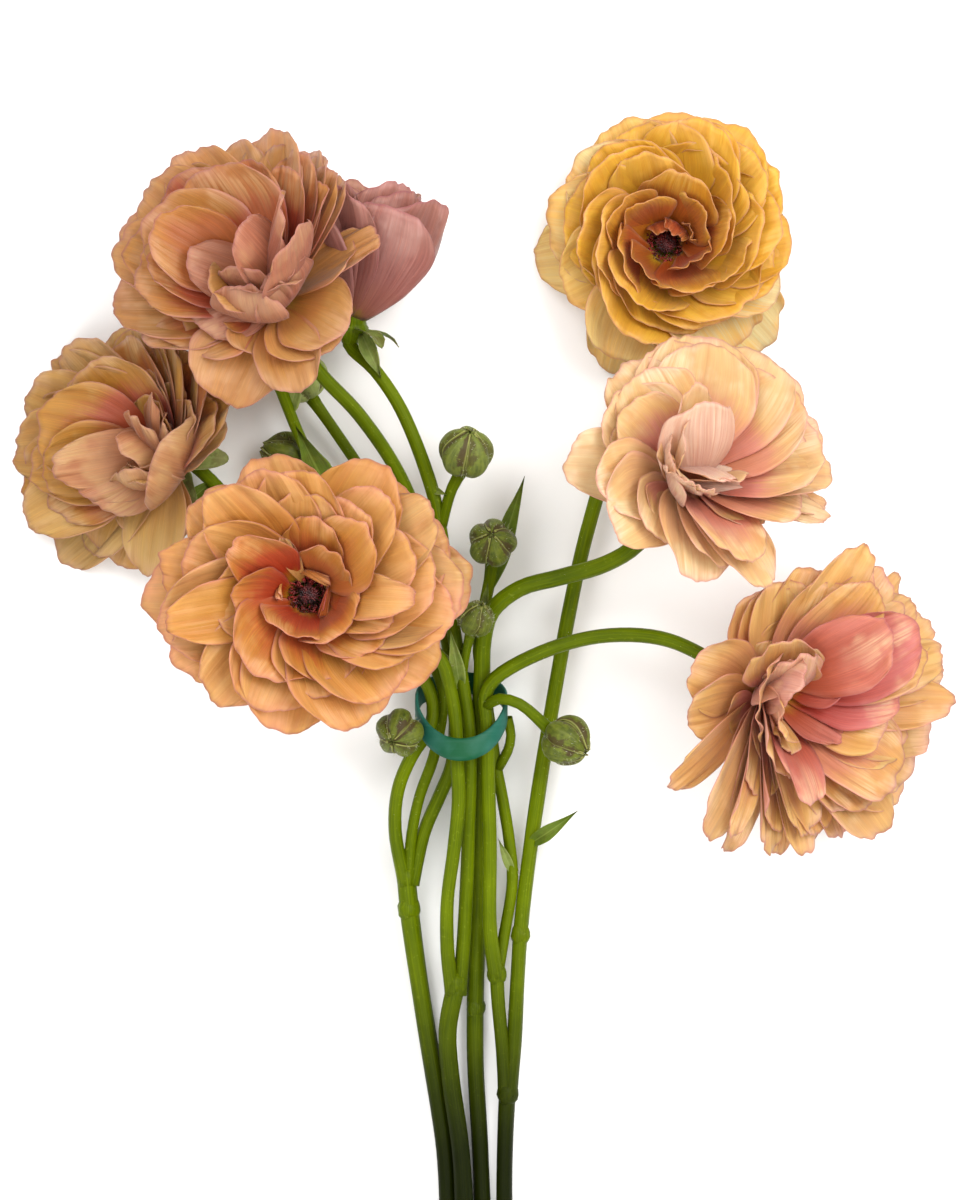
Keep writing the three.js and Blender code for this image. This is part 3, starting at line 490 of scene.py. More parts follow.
# How each bloom stands, and its petals. A row is an azimuth, a length and a width in millimetres. After them
# a pair is the angles at foot and tip, a number says how pale, and a dictionary gives anything else
blooms = {
    "A": {
        "foot": (-60.5, 89, 44), "facing": (-0.28, 0.5, 0.82), "reach": 45, "rings": openRings[1:],
        "turn": 10, "lopsided": 0.06, "longSide": 170, "closedSide": 299, "closing": 60, "sector": -0.2,
        "shift": 0.7, "eyeRadius": 4, "seed": 11,
        "petals": [
            ("outer", [
                (171, 50.2, 28, 0.3), (159, 52.2, 28, 0.4), (145, 54.7, 28, 0.4), (136, 54.2, 28, 0.3),
                (125, 54.4, 28, 0.3), (114, 52.2, 26), (100, 51, 28), (89, 47.2, 24), (76, 43.9, 26),
                (67, 39.8, 24), (185, 47.5, 30, (80, 92)), (196, 39.6, 28, (80, 94)),
                (37, 25.8, 26, (75, 92), 0.2), (36, 33.9, 18, (75, 92), 0.3), (252, 32.1, 32, (92, 112), 0.3),
                (321, 22.9, 30, (88, 104), 0.2), (281, 16.2, 30, (88, 104), 0.2),
            ]),
            ("fan", [
                (169, 44.5, 28), (136, 45.7, 28), (94, 44.1, 22), (78, 40.9, 24), (65, 38.9, 22),
                (183, 39.7, 26), (211, 24.9, 30, (80, 96)), (193, 34.1, 26, (80, 92)),
            ]),
            ("middle", [
                (153, 41.2, 32, flushed(0.3)), (122, 40, 36), (104, 38.4, 24), (179, 36.7, 24, flushed(0.5)),
                (188, 31.9, 20, (62, 80)), (80, 36, 20), (64, 34, 20),
            ]),
            ("inner", [
                (165, 38.6, 24, flushed(0.5)), (171, 22.4, 20, (45, 66), flushed(0.9)),
                (205, 12.6, 22, (62, 84), flushed(0.5)), (88, 27.7, 12),
            ]),
            ("back", [
                (207, 42, 24, (-18, -46)), (351, 36, 27, (34, 6), {"height": 2.4}), (3, 36, 20, (8, -20)),
                (273, 26, 24, (20, -8)), (6, 34, 18, (-34, -62)), (33, 30, 20, (-64, -92)),
            ]),
        ],
        "strays": [
            (262, 30, 26, (80, -50), {"height": 2, "blush": 0.2}),
            (325, 26, 26, (70, -40), {"height": 3, "blush": 0.2}), (292, 30, 22, (84, 112)),
            (333, 24, 28, (78, 96)),
        ],
    },
    "B": {
        "foot": (-39, 84.5, 20), "facing": (0.12, 0.98, 0.06), "reach": 43, "rings": cuppedRings, "turn": 30,
        "eyeRadius": 4, "seed": 22,
        "strays": [
            (165, 22, 14, (112, 160)),
        ],
    },
    "C": {
        "foot": (-93.5, 44, 13), "facing": (-0.52, 0.14, 0.84), "reach": 37, "rings": openRings[1:],
        "turn": 0, "lopsided": 0.08, "longSide": 190, "closedSide": 340, "closing": 50, "sector": -0.2,
        "shift": 0.7, "eyeRadius": 4, "seed": 33,
        "petals": [
            ("outer", [
                (183, 49.9, 28, 0.3), (173, 49.5, 28, 0.3), (163, 49.5, 28, 0.2), (148, 47.4, 28, 0.3),
                (137, 45.6, 28, 0.3), (120, 40.8, 28, 0.2), (105, 38.1, 26), (92, 36.1, 22), (72, 31.3, 24),
                (42, 28.5, 26), (16, 22.8, 24, 0.2), (196, 48.3, 28), (209, 48.2, 26, 0.5),
                (217, 48.4, 28, (85, 100), 0.9), (242, 35, 32, (85, 102)), (256, 24.6, 26, (85, 100)),
            ]),
            ("fan", [
                (109, 35.4, 26), (94, 34.2, 20, {"blush": 1}), (79, 33.4, 22), (55, 29, 24), (27, 24.7, 26),
                (353, 4.3, 24), (192, 40.4, 28), (210, 37.2, 24),
            ]),
            ("middle", [
                (165, 37.9, 32), (149, 34.4, 34), (127, 34, 34), (114, 26.7, 20, {"blush": 1}),
                (87, 24.4, 14), (64, 21.1, 16), (40, 20.6, 16), (193, 35.7, 26),
            ]),
            ("back", [
                (15, 40, 18, (-38, -66)), (36, 34, 20, (-44, -72)), (252, 27, 16, (-16, -44)),
                (57, 24, 17, (-4, -32)), (282, 19, 16, (22, -6)), (240, 30, 9, (-30, -58)),
                (213, 26, 12, (-30, -58)), (45, 32, 22, (-48, -76)),
            ]),
        ],
        "strays": [
            (335, 28, 34, (80, -50), {"height": 2, "blush": 0.2}),
            (270, 26, 26, (75, -55), {"height": 2, "blush": 0.2}), (265, 34, 26, (80, 98), 0.6),
            (225, 38, 24, (82, 98), 0.6),
        ],
    },
    "D": {
        "foot": (-51, 1.5, 45), "facing": (0.02, 0.02, 1), "rings": [], "turn": 20, "eyeRadius": 6.2,
        "seed": 44,
        "petals": [
            ("outer", [
                (64, 43.1, 31), (106, 41.2, 31, 0.2), (141, 43.2, 28, 0.3), (166, 43.7, 24),
                (188, 44.4, 32, 0.9), (207, 42.7, 26, 0.6), (229, 41.9, 26, 0.5), (260, 39.8, 32),
                (294, 41.1, 34), (326, 42, 32), (359, 45.7, 34, 0.9), (21, 42.6, 30, 0.4),
                (37, 44.1, 28, 0.8), (46, 40.3, 28),
            ]),
            ("fan", [
                (96, 38.3, 30), (115, 39.2, 28), (134, 42.8, 26), (158, 37.4, 32), (193, 44.3, 20),
                (198, 32.8, 26), (6, 38.6, 34), (350, 43.9, 28), (336, 36.4, 28), (307, 38, 30),
                (278, 31.1, 28), (247, 36.1, 30), (54, 38.6, 24),
            ]),
            ("middle", [
                (189, 27.4, 30), (237, 29.5, 30, flushed(0.5)), (288, 26.3, 26, flushed(0.5)),
                (329, 28.1, 26, flushed(0.5)), (28, 35.1, 28), (61, 32.4, 24), (91, 30.8, 26),
            ]),
            ("inner", [
                (143, 30.8, 18, flushed(0.6)), (182, 23.5, 18, flushed(0.6)), (360, 36.2, 15, {"curl": 60}),
                (344, 27.8, 16, {"curl": 20}), (50, 30.3, 24, flushed(0.4)), (83, 23.8, 20, flushed(0.5)),
            ]),
        ],
        "strays": [
            (5, 46, 32, (82, 96), 0.8), (180, 46, 32, (82, 98), 0.8),
            (255, 18, 26, (22, 30), flushed(0.6, height=4, start=5)),
            (318, 20, 25, (20, 28), flushed(0.6, height=4, start=6, curl=40)),
            (52, 19, 20, (26, 34), flushed(0.5, height=4, start=5)),
            (116, 19, 6, (40, 60), 1, {"height": 5, "start": 4, "shoulder": 0.95}),
            (112, 13, 3, (40, -130), {"height": 4, "start": 6, "blush": 0.4, "sway": 0.5}),
            (150, 10, 3, (60, -60), {"height": 4, "start": 6, "shift": 0.5, "sway": -0.5}),
            (28, 12, 2.6, (30, -130), flushed(1, height=4, start=6, sway=0.6)),
        ],
    },
    "E": {
        "foot": (57, 109, 9.2), "facing": (0, 0.06, 1), "reach": 40, "rings": ballRings, "turn": 5,
        "eyeRadius": 6.6, "seed": 55,
        "petals": [
            ("outer", [
                (339, 35.4, 36, 0.9, {"tip": 112}), (307, 37.1, 34, 0.9, {"tip": 112}),
                (252, 37.5, 34, 0.6, {"tip": 112}), (279, 29.1, 34, 0.7, {"tip": 112}),
                (205, 33.1, 30, 0.3, {"tip": 100}), (172, 35.3, 34, 0.6), (137, 36.1, 32, 0.8),
                (110, 38.3, 30, 0.3), (85, 38.8, 40), (55, 39.6, 36), (30, 38.3, 34), (3, 36, 34),
                (346, 34.3, 30),
            ]),
            ("fan", [
                (160, 31, 34), (129, 33.6, 30), (98, 35.9, 34), (73, 37.7, 34), (42, 36.5, 32),
                (15, 35.4, 34), (341, 31.8, 32), (303, 30.1, 36), (266, 28.1, 34, {"tip": 70}),
                (229, 27, 34, {"tip": 70}), (190, 25.8, 32),
            ]),
        ],
        "strays": [
            (250, 41, 30, (90, 124), 0.7), (318, 43, 30, (90, 124), 0.9), (185, 38, 28, (88, 118), 0.6),
            (52, 13, 10, (10, -50), flushed(1, height=4, start=6.5)),
            (110, 11, 9, (20, -70), flushed(1, height=4, start=6.5)),
            (20, 13, 8, (24, -20), flushed(0.8, height=4, start=6.5)),
        ],
    },
    "F": {
        "foot": (59.5, 35.5, 49), "facing": (0.34, 0.42, 0.84), "reach": 40, "rings": openRings[1:],
        "turn": 15, "lopsided": 0.05, "longSide": 0, "closedSide": 231, "closing": 60, "sector": -0.1,
        "shift": 0.6, "eyeRadius": 4, "seed": 66,
        "petals": [
            ("outer", [
                (75, 42.5, 34), (55, 46.6, 30), (37, 45.4, 30, 0.3), (22, 44.9, 30), (94, 39, 30),
                (114, 35.6, 28), (135, 29.5, 30), (159, 23.6, 28), (356, 43.1, 26), (343, 41.7, 16, 0.3),
                (330, 42.5, 15, 0.5), (293, 41.1, 26), (281, 34.2, 26), (260, 34.9, 26), (240, 26.5, 28),
                (212, 33.2, 28), (197, 31.7, 26), (172, 35, 25, (80, 96), 0.8),
            ]),
            ("fan", [
                (78, 38, 32), (53, 42.6, 34), (30, 39.9, 34), (10, 39.3, 34), (358, 37.1, 30),
                (118, 31.1, 26), (140, 25.8, 24), (333, 34.3, 26), (282, 37.3, 26), (252, 18.5, 28, (75, 88)),
                (213, 21.3, 26, (75, 90)),
            ]),
            ("middle", [(296, 15.9, 22, (62, 80)), (319, 24.3, 20, (60, 78))]),
            ("back", [
                (297, 36, 25, (-10, -38)), (198, 27, 25, (38, 10), {"height": 2.2}),
                (105, 26, 16, (-26, -54)), (159, 26, 12, (-54, -82)),
            ]),
        ],
        "strays": [
            (150, 28, 23, (12, 6), {"height": 2.8, "start": 5, "blush": 1}),
            (105, 30, 14, (24, 34), {"height": 4, "blush": 1}),
            (226, 32, 15, (37, 26), {"height": 3, "start": 4, "blush": 1}),
            (246, 30.5, 13, (34, 24), {"height": 3, "start": 4, "blush": 1}),
        ],
    },
    "G": {
        "foot": (85, -27.5, 31), "facing": (0.55, -0.12, 0.82), "reach": 43, "rings": openRings, "turn": 0,
        "lopsided": 0.22, "longSide": -25, "closedSide": 168, "closing": 60, "sector": -0.3, "shift": 0.5,
        "eyeRadius": 4, "seed": 77,
        "petals": [
            ("outer", [
                (63, 51.1, 20), (70, 38.5, 26), (96, 28.4, 30, (75, 92)), (87, 32.6, 26), (48, 49.5, 22),
                (45, 52.7, 12), (31, 51.8, 20, 0.3), (24, 57, 22), (15, 57.3, 18), (8, 59.2, 16),
                (358, 59.3, 18), (350, 57.2, 30, 0.6), (339, 53.1, 30, 0.3), (330, 55.2, 34),
                (316, 55.3, 30, 0.3), (307, 52.6, 18), (296, 47.9, 20, 0.6), (288, 47.4, 20, 0.6),
                (278, 49.1, 18), (271, 46.5, 16), (262, 46.7, 16, 0.6), (251, 48.7, 17, 0.8),
                (236, 50.6, 21, 0.8), (221, 41.4, 15, (80, 95)), (196, 24.5, 24, (85, 98)),
                (166, 25.5, 26, (85, 98)),
            ]),
            ("fan", [
                (59, 43.5, 22), (66, 36.4, 24), (94, 28.8, 26, (72, 88)), (41, 45.8, 20),
                (23, 48.1, 22, {"blush": 1}), (343, 44, 26), (330, 46.9, 30), (313, 44, 26), (303, 40.5, 22),
                (287, 42.6, 24), (277, 42.2, 20), (262, 39.9, 18), (249, 31.8, 20),
                (243, 46.1, 12, {"blush": 1}), (241, 22.8, 18, (75, 90)),
                (218, 13.4, 20, (80, 90), {"blush": 1}),
            ]),
            ("middle", [
                (70, 19.6, 26, (62, 80)), (93, 12.5, 24, (62, 80)), (263, 18.6, 22, (55, 74)),
                (254, 21.4, 16, (60, 80)), (276, 14.2, 18, (45, 66)), (30, 46.3, 26, flushed(0.9)),
            ]),
            ("inner", [(49, 39.7, 24, flushed(0.9))]),
            ("middle", [(8, 37.8, 24, flushed(0.9))]),
            ("inner", [(21, 20.8, 15, flushed(1))]),
            ("middle", [(347, 34.7, 24, flushed(0.3))]),
            ("inner", [(266, 36.8, 22, flushed(0.9)), (322, 21.8, 14, flushed(0.9))]),
            ("back", [(288, 30, 20, (-24, -60)), (147, 26, 20, (30, 2))]),
        ],
        "strays": [
            (150, 30, 20, (20, 20), {"height": 4, "start": 5, "curl": -30}),
            (205, 30, 18, (24, 10), {"height": 4, "start": 5, "curl": 40}),
        ],
    },
}

# What a bloom has where its own settings don't say
bloomForm = {
    "petals": [], "shift": 0, "sector": -2, "lopsided": 0, "longSide": 0, "closedSide": 0, "closing": 0,
}
strayForm = {"start": 3.2, "height": 1, "roll": 0, "blush": 0.5}


def changesOf(more):
    changes = {}
    for item in more:
        if isinstance(item, dict):
            changes.update(item)
        elif isinstance(item, tuple):
            changes["base"], changes["tip"] = item
        else:
            changes["pale"] = item
    return changes


# First the petals placed one by one, then the rings, then the strays
def petalsOf(bloom, rng):
    bloom = {**bloomForm, **bloom}
    petals = []
    for kindName, rows in bloom["petals"]:
        kind = petalKinds[kindName]
        for azimuth, length, width, *more in rows:
            apart = 5 * (len(petals) % 2 - 0.5)
            petals.append({
                **kind,
                "base": kind["base"] + apart,
                "tip": kind["tip"] + apart,
                "azimuth": azimuth,
                "length": length,
                "width": width,
                "roll": 0.22 + 0.12 * rng.random(),
                "twist": 8 * (rng.random() - 0.5),
                "sway": 0.1 * (rng.random() - 0.5),
                "ruffles": 1.4 + 2 * rng.random(),
                "curl": 22 * (rng.random() - 0.4),
                "shift": bloom["shift"] * (0.3 + 0.7 * rng.random()),
                **changesOf(more),
            })
    for ringNumber, ring in enumerate(bloom["rings"]):
        for number in range(ring["count"]):
            place = number + 0.5 * ringNumber + 0.28 * (rng.random() - 0.5)
            azimuth = bloom["turn"] + 360 * place / ring["count"]
            towardsClosed = math.cos(math.radians(azimuth - bloom["closedSide"]))
            if towardsClosed < bloom["sector"]:
                continue
            stretch = 1 + bloom["lopsided"] * math.cos(math.radians(azimuth - bloom["longSide"]))
            closing = bloom["closing"] * max(0, towardsClosed) ** 0.7
            closing *= 0.25 + 0.25 * ringNumber
            petals.append({
                **ring,
                "azimuth": azimuth,
                "start": petalForm["start"] + ringNumber * petalForm["startStep"],
                "base": ring["base"] - closing * 0.6 + 5 * (rng.random() - 0.5),
                "tip": ring["tip"] - closing + 16 * (rng.random() - 0.5),
                "length": ring["length"] * bloom["reach"] * (0.93 + 0.1 * rng.random()) * stretch,
                "width": ring["width"] * bloom["reach"] * (0.85 + 0.3 * rng.random()),
                "roll": 0.18 + 0.16 * rng.random(),
                "twist": 12 * (rng.random() - 0.5),
                "sway": 0.16 * (rng.random() - 0.5),
                "ruffles": 1.4 + 2 * rng.random(),
                "curl": 26 * (rng.random() - 0.35),
                "blush": 0.75 + 0.25 * rng.random(),
            })
    for azimuth, length, width, *more in bloom["strays"]:
        petals.append({**strayForm, "azimuth": azimuth, "length": length, "width": width, **changesOf(more)})
    return petals


for letter, bloom in blooms.items():
    rng = Random(bloom["seed"])
    bm, uvLayer, tintLayer = newBlades()
    place = facingPlace(bloom["foot"], bloom["facing"])
    for petal in petalsOf(bloom, rng):
        addPetal(bm, place, petal, uvLayer, tintLayer, rng)
    sides = (("petalFace", False), ("petalBack", True))
    materials = [petalMaterial(side + letter, looks[letter], outer) for side, outer in sides]
    name = "petals_" + letter
    finishPiece(name, bm, [f"bloom_{letter}_petals"], materials, petalForm["thickness"])


# The green parts. A stalk's colour follows its own length and goes dark towards the cut end
def tubeMaterial(name, look):
    material, tree = newMaterial(name)
    spot = addNode(tree, "ShaderNodeAttribute", attribute_name="stalkSpot")
    parts = addNode(tree, "ShaderNodeSeparateColor", {0: spot.outputs["Color"]})
    (ringX, ringY, along), tone = parts.outputs, spot.outputs["Alpha"]
    far = mathOf(tree, "MULTIPLY_ADD", along, 9.0, timesOf(tree, tone, 40.0))
    streaks = grainOf(tree, ringX, ringY, far, (13.0, 13.0), 3.0, 0.6)
    place = objectSpot(tree)
    mottle = noiseOf(tree, place, 60.0, 3.0)
    speck = noiseOf(tree, place, 900.0, 2.0)
    height = addNode(tree, "ShaderNodeSeparateXYZ", {0: place}).outputs[1]
    colour = mixOf(tree, rangeOf(tree, mottle, 0.3, 0.7), look["dull"], look["bright"])
    colour = mixOf(tree, rangeOf(tree, tone, 0.0, 1.0, 0.0, 0.35), colour, look["olive"])
    colour = mixOf(tree, rangeOf(tree, streaks, 0.45, 0.75, 0.0, 0.4), colour, look["streak"])
    colour = mixOf(tree, rangeOf(tree, speck, 0.64, 0.74, 0.0, 0.2), colour, look["pale"])
    low = rangeOf(tree, height, look["dimFrom"], look["dimTo"], 0.0, 0.94, True)
    colour = mixOf(tree, low, colour, look["deep"])
    bump = bumpOf(tree, speck, 0.15, 0.0002, bumpOf(tree, streaks, 0.35, 0.0004))
    finishMaterial(tree, outOf(tree, "ShaderNodeBsdfPrincipled", {
        "Base Color": colour, "Roughness": rangeOf(tree, mottle, 0.3, 0.7, 0.34, 0.5), "Normal": bump,
        "Specular IOR Level": 0.06, "Subsurface Weight": 0.15,
        "Subsurface Radius": (0.0008, 0.001, 0.0003), "Subsurface Scale": 1.0,
    }))
    return material


# For leaves, bracts and sepals. Their colour follows the blade: midrib, side veins and edge
def leafMaterial(name, look):
    material, tree = newMaterial(name)
    u, v, across, far, tints = bladeSpot(tree)
    brown, pale = tints[1:3]
    place = objectSpot(tree)
    mottle = noiseOf(tree, place, look["mottle"], 4.0, 0.6)
    cells = noiseOf(tree, place, 1400.0, 2.0)
    veins = grainOf(tree, u, v, far, (16.0, 2.5), 3.0, 0.65)
    colour = mixOf(tree, rangeOf(tree, mottle, 0.35, 0.65), look["dull"], look["bright"])
    colour = mixOf(tree, rangeOf(tree, veins, 0.35, 0.75, 0.0, 0.5), colour, look["vein"])
    colour = mixOf(tree, pale, colour, look["pale"])
    browning = noiseOf(tree, place, look["browning"], 3.0, 0.7)
    # the brown gathers towards the margins, by brownSide, and further along the blade
    browning = mathOf(tree, "MULTIPLY_ADD", across, look["brownSide"], browning)
    browning = mathOf(tree, "MULTIPLY_ADD", v, 0.22, browning)
    browned = rangeOf(tree, browning, look["brownFrom"], look["brownFrom"] + 0.16, 0.0, 0.85, True)
    colour = mixOf(tree, timesOf(tree, brown, browned), colour, look["brown"])
    edge = rangeOf(tree, across, look["edgeFrom"], 1.0, 0.0, look["edge"], True)
    colour = mixOf(tree, edge, colour, look["margin"])
    rib = rangeOf(tree, across, 0.0, 0.12, look["rib"], 0.0, True)
    colour = mixOf(tree, timesOf(tree, rib, rangeOf(tree, v, 0.6, 1.0, 1.0, 0.2)), colour, look["margin"])
    bump = bumpOf(tree, mottle, 0.3, 0.0004, bumpOf(tree, veins, 0.5, 0.0005))
    bump = bumpOf(tree, cells, 0.2, 0.0002, bump)
    surface = outOf(tree, "ShaderNodeBsdfPrincipled", {
        "Base Color": colour, "Roughness": rangeOf(tree, cells, 0.3, 0.7, 0.42, 0.6), "Normal": bump,
        "Specular IOR Level": 0.25, "Sheen Weight": 0.12, "Sheen Tint": paint(look["pale"]),
    })
    glow = outOf(tree, "ShaderNodeBsdfTranslucent", {"Color": colour, "Normal": bump})
    finishMaterial(tree, outOf(tree, "ShaderNodeMixShader", {0: look["glow"], 1: surface, 2: glow}))
    return material


def hairMaterial(name, root, tip, roughness):
    material, tree = newMaterial(name)
    mottle = noiseOf(tree, objectSpot(tree), 400.0)
    finishMaterial(tree, outOf(tree, "ShaderNodeBsdfPrincipled", {
        "Base Color": mixOf(tree, rangeOf(tree, mottle, 0.35, 0.65), root, tip),
        "Roughness": rangeOf(tree, mottle, 0.3, 0.7, roughness, roughness + 0.15),
        "Normal": bumpOf(tree, mottle, 0.2, 0.0002),
    }))
    return material


stemMaterial = tubeMaterial("stemGreen", {
    "dull": "#425200", "bright": "#5c6c00", "olive": "#4c5800", "deep": "#050800", "streak": "#7c8c08",
    "pale": "#98a638", "dimFrom": -0.06, "dimTo": -0.15,
})
sepalMaterial = leafMaterial("sepalGreen", {
    "dull": "#52660e", "bright": "#74842c", "vein": "#88944a", "pale": "#a8b274", "brown": "#5a3a26",
    "margin": "#a4ac6c", "mottle": 420.0, "browning": 260.0, "brownSide": 0.0, "brownFrom": 0.58,
    "edgeFrom": 0.82, "edge": 0.6, "rib": 0.3, "glow": 0.12,
})
budMaterial = leafMaterial("budGreen", {
    "dull": "#323c06", "bright": "#58620e", "vein": "#747c2a", "pale": "#a4b068", "brown": "#38200e",
    "margin": "#969a50", "mottle": 420.0, "browning": 300.0, "brownSide": 0.45, "brownFrom": 0.8,
    "edgeFrom": 0.86, "edge": 0.7, "rib": 0.1, "glow": 0.0,
})
bladeMaterial = leafMaterial("leafGreen", {
    "dull": "#3a4e06", "bright": "#586e10", "vein": "#728628", "pale": "#98a848", "brown": "#5c4a20",
    "margin": "#84943c", "mottle": 260.0, "browning": 160.0, "brownSide": 0.0, "brownFrom": 0.58,
    "edgeFrom": 0.88, "edge": 0.4, "rib": 0.6, "glow": 0.15,
})
downMaterial = hairMaterial("paleDown", "#b9bd94", "#dcdcc0", 0.6)


# A smooth line through the points, as places a little apart
def routeOf(points, spacing):
    points = [Vector(point) for point in points]
    ends = [2 * points[0] - points[1], *points, 2 * points[-1] - points[-2]]
    line = []
    for before, here, after, beyond in zip(ends, ends[1:], ends[2:], ends[3:]):
        spans = (here - before, after - here, beyond - after)
        first, middle, last = [max(0.001, span.length) ** 0.5 for span in spans]
        leaving = (here - before) / first - (after - before) / (first + middle) + (after - here) / middle
        arriving = (after - here) / middle - (beyond - here) / (middle + last) + (beyond - after) / last
        handles = (here + leaving * middle / 3, after - arriving * middle / 3)
        count = max(2, round((after - here).length / spacing))
        line += geometry.interpolate_bezier(here, *handles, after, count + 1)[:-1]
    return [*line, points[-1]]


def framesAlong(line):
    frames = []
    tangent = (line[1] - line[0]).normalized()
    side = tangent.orthogonal().normalized()
    for number, at in enumerate(line):
        ahead = (line[min(number + 1, len(line) - 1)] - line[max(number - 1, 0)]).normalized()
        side.rotate(tangent.rotation_difference(ahead))
        tangent = ahead
        frame = Matrix((side, ahead.cross(side), ahead)).transposed().to_4x4()
        frame.translation = at
        frames.append(frame)
    return frames


def growRing(bm, edges, matrix):
    made = bmesh.ops.extrude_edge_only(bm, edges=edges)["geom"]
    ring = {item for item in made if isinstance(item, bmesh.types.BMVert)}
    bmesh.ops.transform(bm, matrix=matrix, verts=list(ring))
    return ring, [item for item in made if isinstance(item, bmesh.types.BMEdge) and set(item.verts) <= ring]


# "ridge" and "ridges" are a stalk's flutes, "span" the length that one unit of its colour takes, and "hollow"
# the steps into a cut end, each as a share of the radius and a depth
stalkForm = {"ridge": 0.03, "ridges": 5, "span": 200, "hollow": ((0.8, 0.15), (0.62, 0.5), (0.55, 3))}


def addTube(bm, spotLayer, line, radii, tone, sides=14, hollow=None):
    first = bmesh.ops.create_circle(bm, segments=sides, radius=1)["verts"]
    for vert in first:
        vert[spotLayer] = (vert.co.x / 2 + 0.5, vert.co.y / 2 + 0.5, 0, tone)
        around = math.atan2(vert.co.y, vert.co.x)
        vert.co *= 1 + stalkForm["ridge"] * math.cos(stalkForm["ridges"] * around + 20 * tone)
    edges = firstEdges = list({edge for vert in first for edge in vert.link_edges})
    frames = [frame @ Matrix.Scale(radius, 4) for frame, radius in zip(framesAlong(line), radii)]
    bmesh.ops.transform(bm, matrix=frames[0], verts=first)
    made, travelled = set(first), 0
    for number in range(1, len(frames)):
        ring, edges = growRing(bm, edges, frames[number] @ frames[number - 1].inverted())
        travelled += (line[number] - line[number - 1]).length / stalkForm["span"]
        for vert in ring:
            vert[spotLayer] = (*vert[spotLayer][:2], travelled, tone)
        made |= ring
    for open, frame, inwards in ((firstEdges, frames[0], 1), (edges, frames[-1], -1)):
        if hollow == inwards:
            for edge in open:
                edge.smooth = False
            for wide, deep in stalkForm["hollow"]:
                inset = frame @ Matrix.Translation((0, 0, inwards * deep)) @ Matrix.Scale(wide, 4)
                frame, last = inset, frame
                ring, open = growRing(bm, open, inset @ last.inverted())
                made |= ring
        bmesh.ops.contextual_create(bm, geom=open)
    bmesh.ops.recalc_face_normals(bm, faces=facesOf(made))


def addKnot(bm, spotLayer, at, radius, tone):
    for vert in bmesh.ops.create_uvsphere(bm, u_segments=18, v_segments=12, radius=radius)["verts"]:
        ringX, ringY = vert.co.x / radius / 2 + 0.5, vert.co.z / radius / 2 + 0.5
        vert[spotLayer] = (ringX, ringY, vert.co.y / stalkForm["span"], tone)
        lump = 0.14 * noise.noise(vert.co * 0.5 + Vector(at))
        vert.co *= 1 + lump + 0.05 * math.cos(3 * math.atan2(vert.co.z, vert.co.x))
        vert.co = Vector((vert.co.x, vert.co.y * 1.25, vert.co.z)) + Vector(at)


def paintFaces(verts, index):
    for face in facesOf(verts):
        face.material_index = index


hair = {"sides": 3, "thick": 0.045, "longer": 0.9}


def addHair(bm, at, direction, length, thick=hair["thick"]):
    turn = Vector((0, 0, 1)).rotation_difference(direction).to_matrix().to_4x4()
    matrix = Matrix.Translation(at + direction * length / 2) @ turn
    made = bmesh.ops.create_cone(
        bm, segments=hair["sides"], radius1=thick, radius2=0, depth=length, matrix=matrix,
    )
    paintFaces(made["verts"], 2)


# A leaf or bract from one point to the other, folded along its midrib and bulging upwards by its rise
def addLeaf(bm, leaf, uvLayer, tintLayer, thickness, index, tint, cells):
    verts, faces = addBladeGrid(bm, cells, uvLayer)
    paintFaces(verts, index)
    start = Vector(leaf["from"])
    along = Vector(leaf["to"]) - start
    side = -Vector((0, 0, 1)).cross(along).normalized()
    up = side.cross(along).normalized()
    seed = start.x + start.y
    for vert in verts:
        vert[tintLayer] = tint
        u, v = vert.co.x, (vert.co.y + 1) / 2
        half = leaf["width"] / 2 * (0.25 + 0.75 * math.sin(math.pi * v**0.8) ** 0.8) * (1 - 0.9 * v**3)
        half *= 1 + 0.1 * noise.noise((5 * v, seed, u))
        rise = leaf["rise"] * math.sin(math.pi * v) + leaf["width"] * (0.22 * abs(u) ** 1.4 - 0.06)
        rise += 0.25 * math.sin(14 * v + seed) * abs(u) * v
        vert.co = start + along * v + up * rise + side * u * half
    thicken(bm, faces, thickness, index)


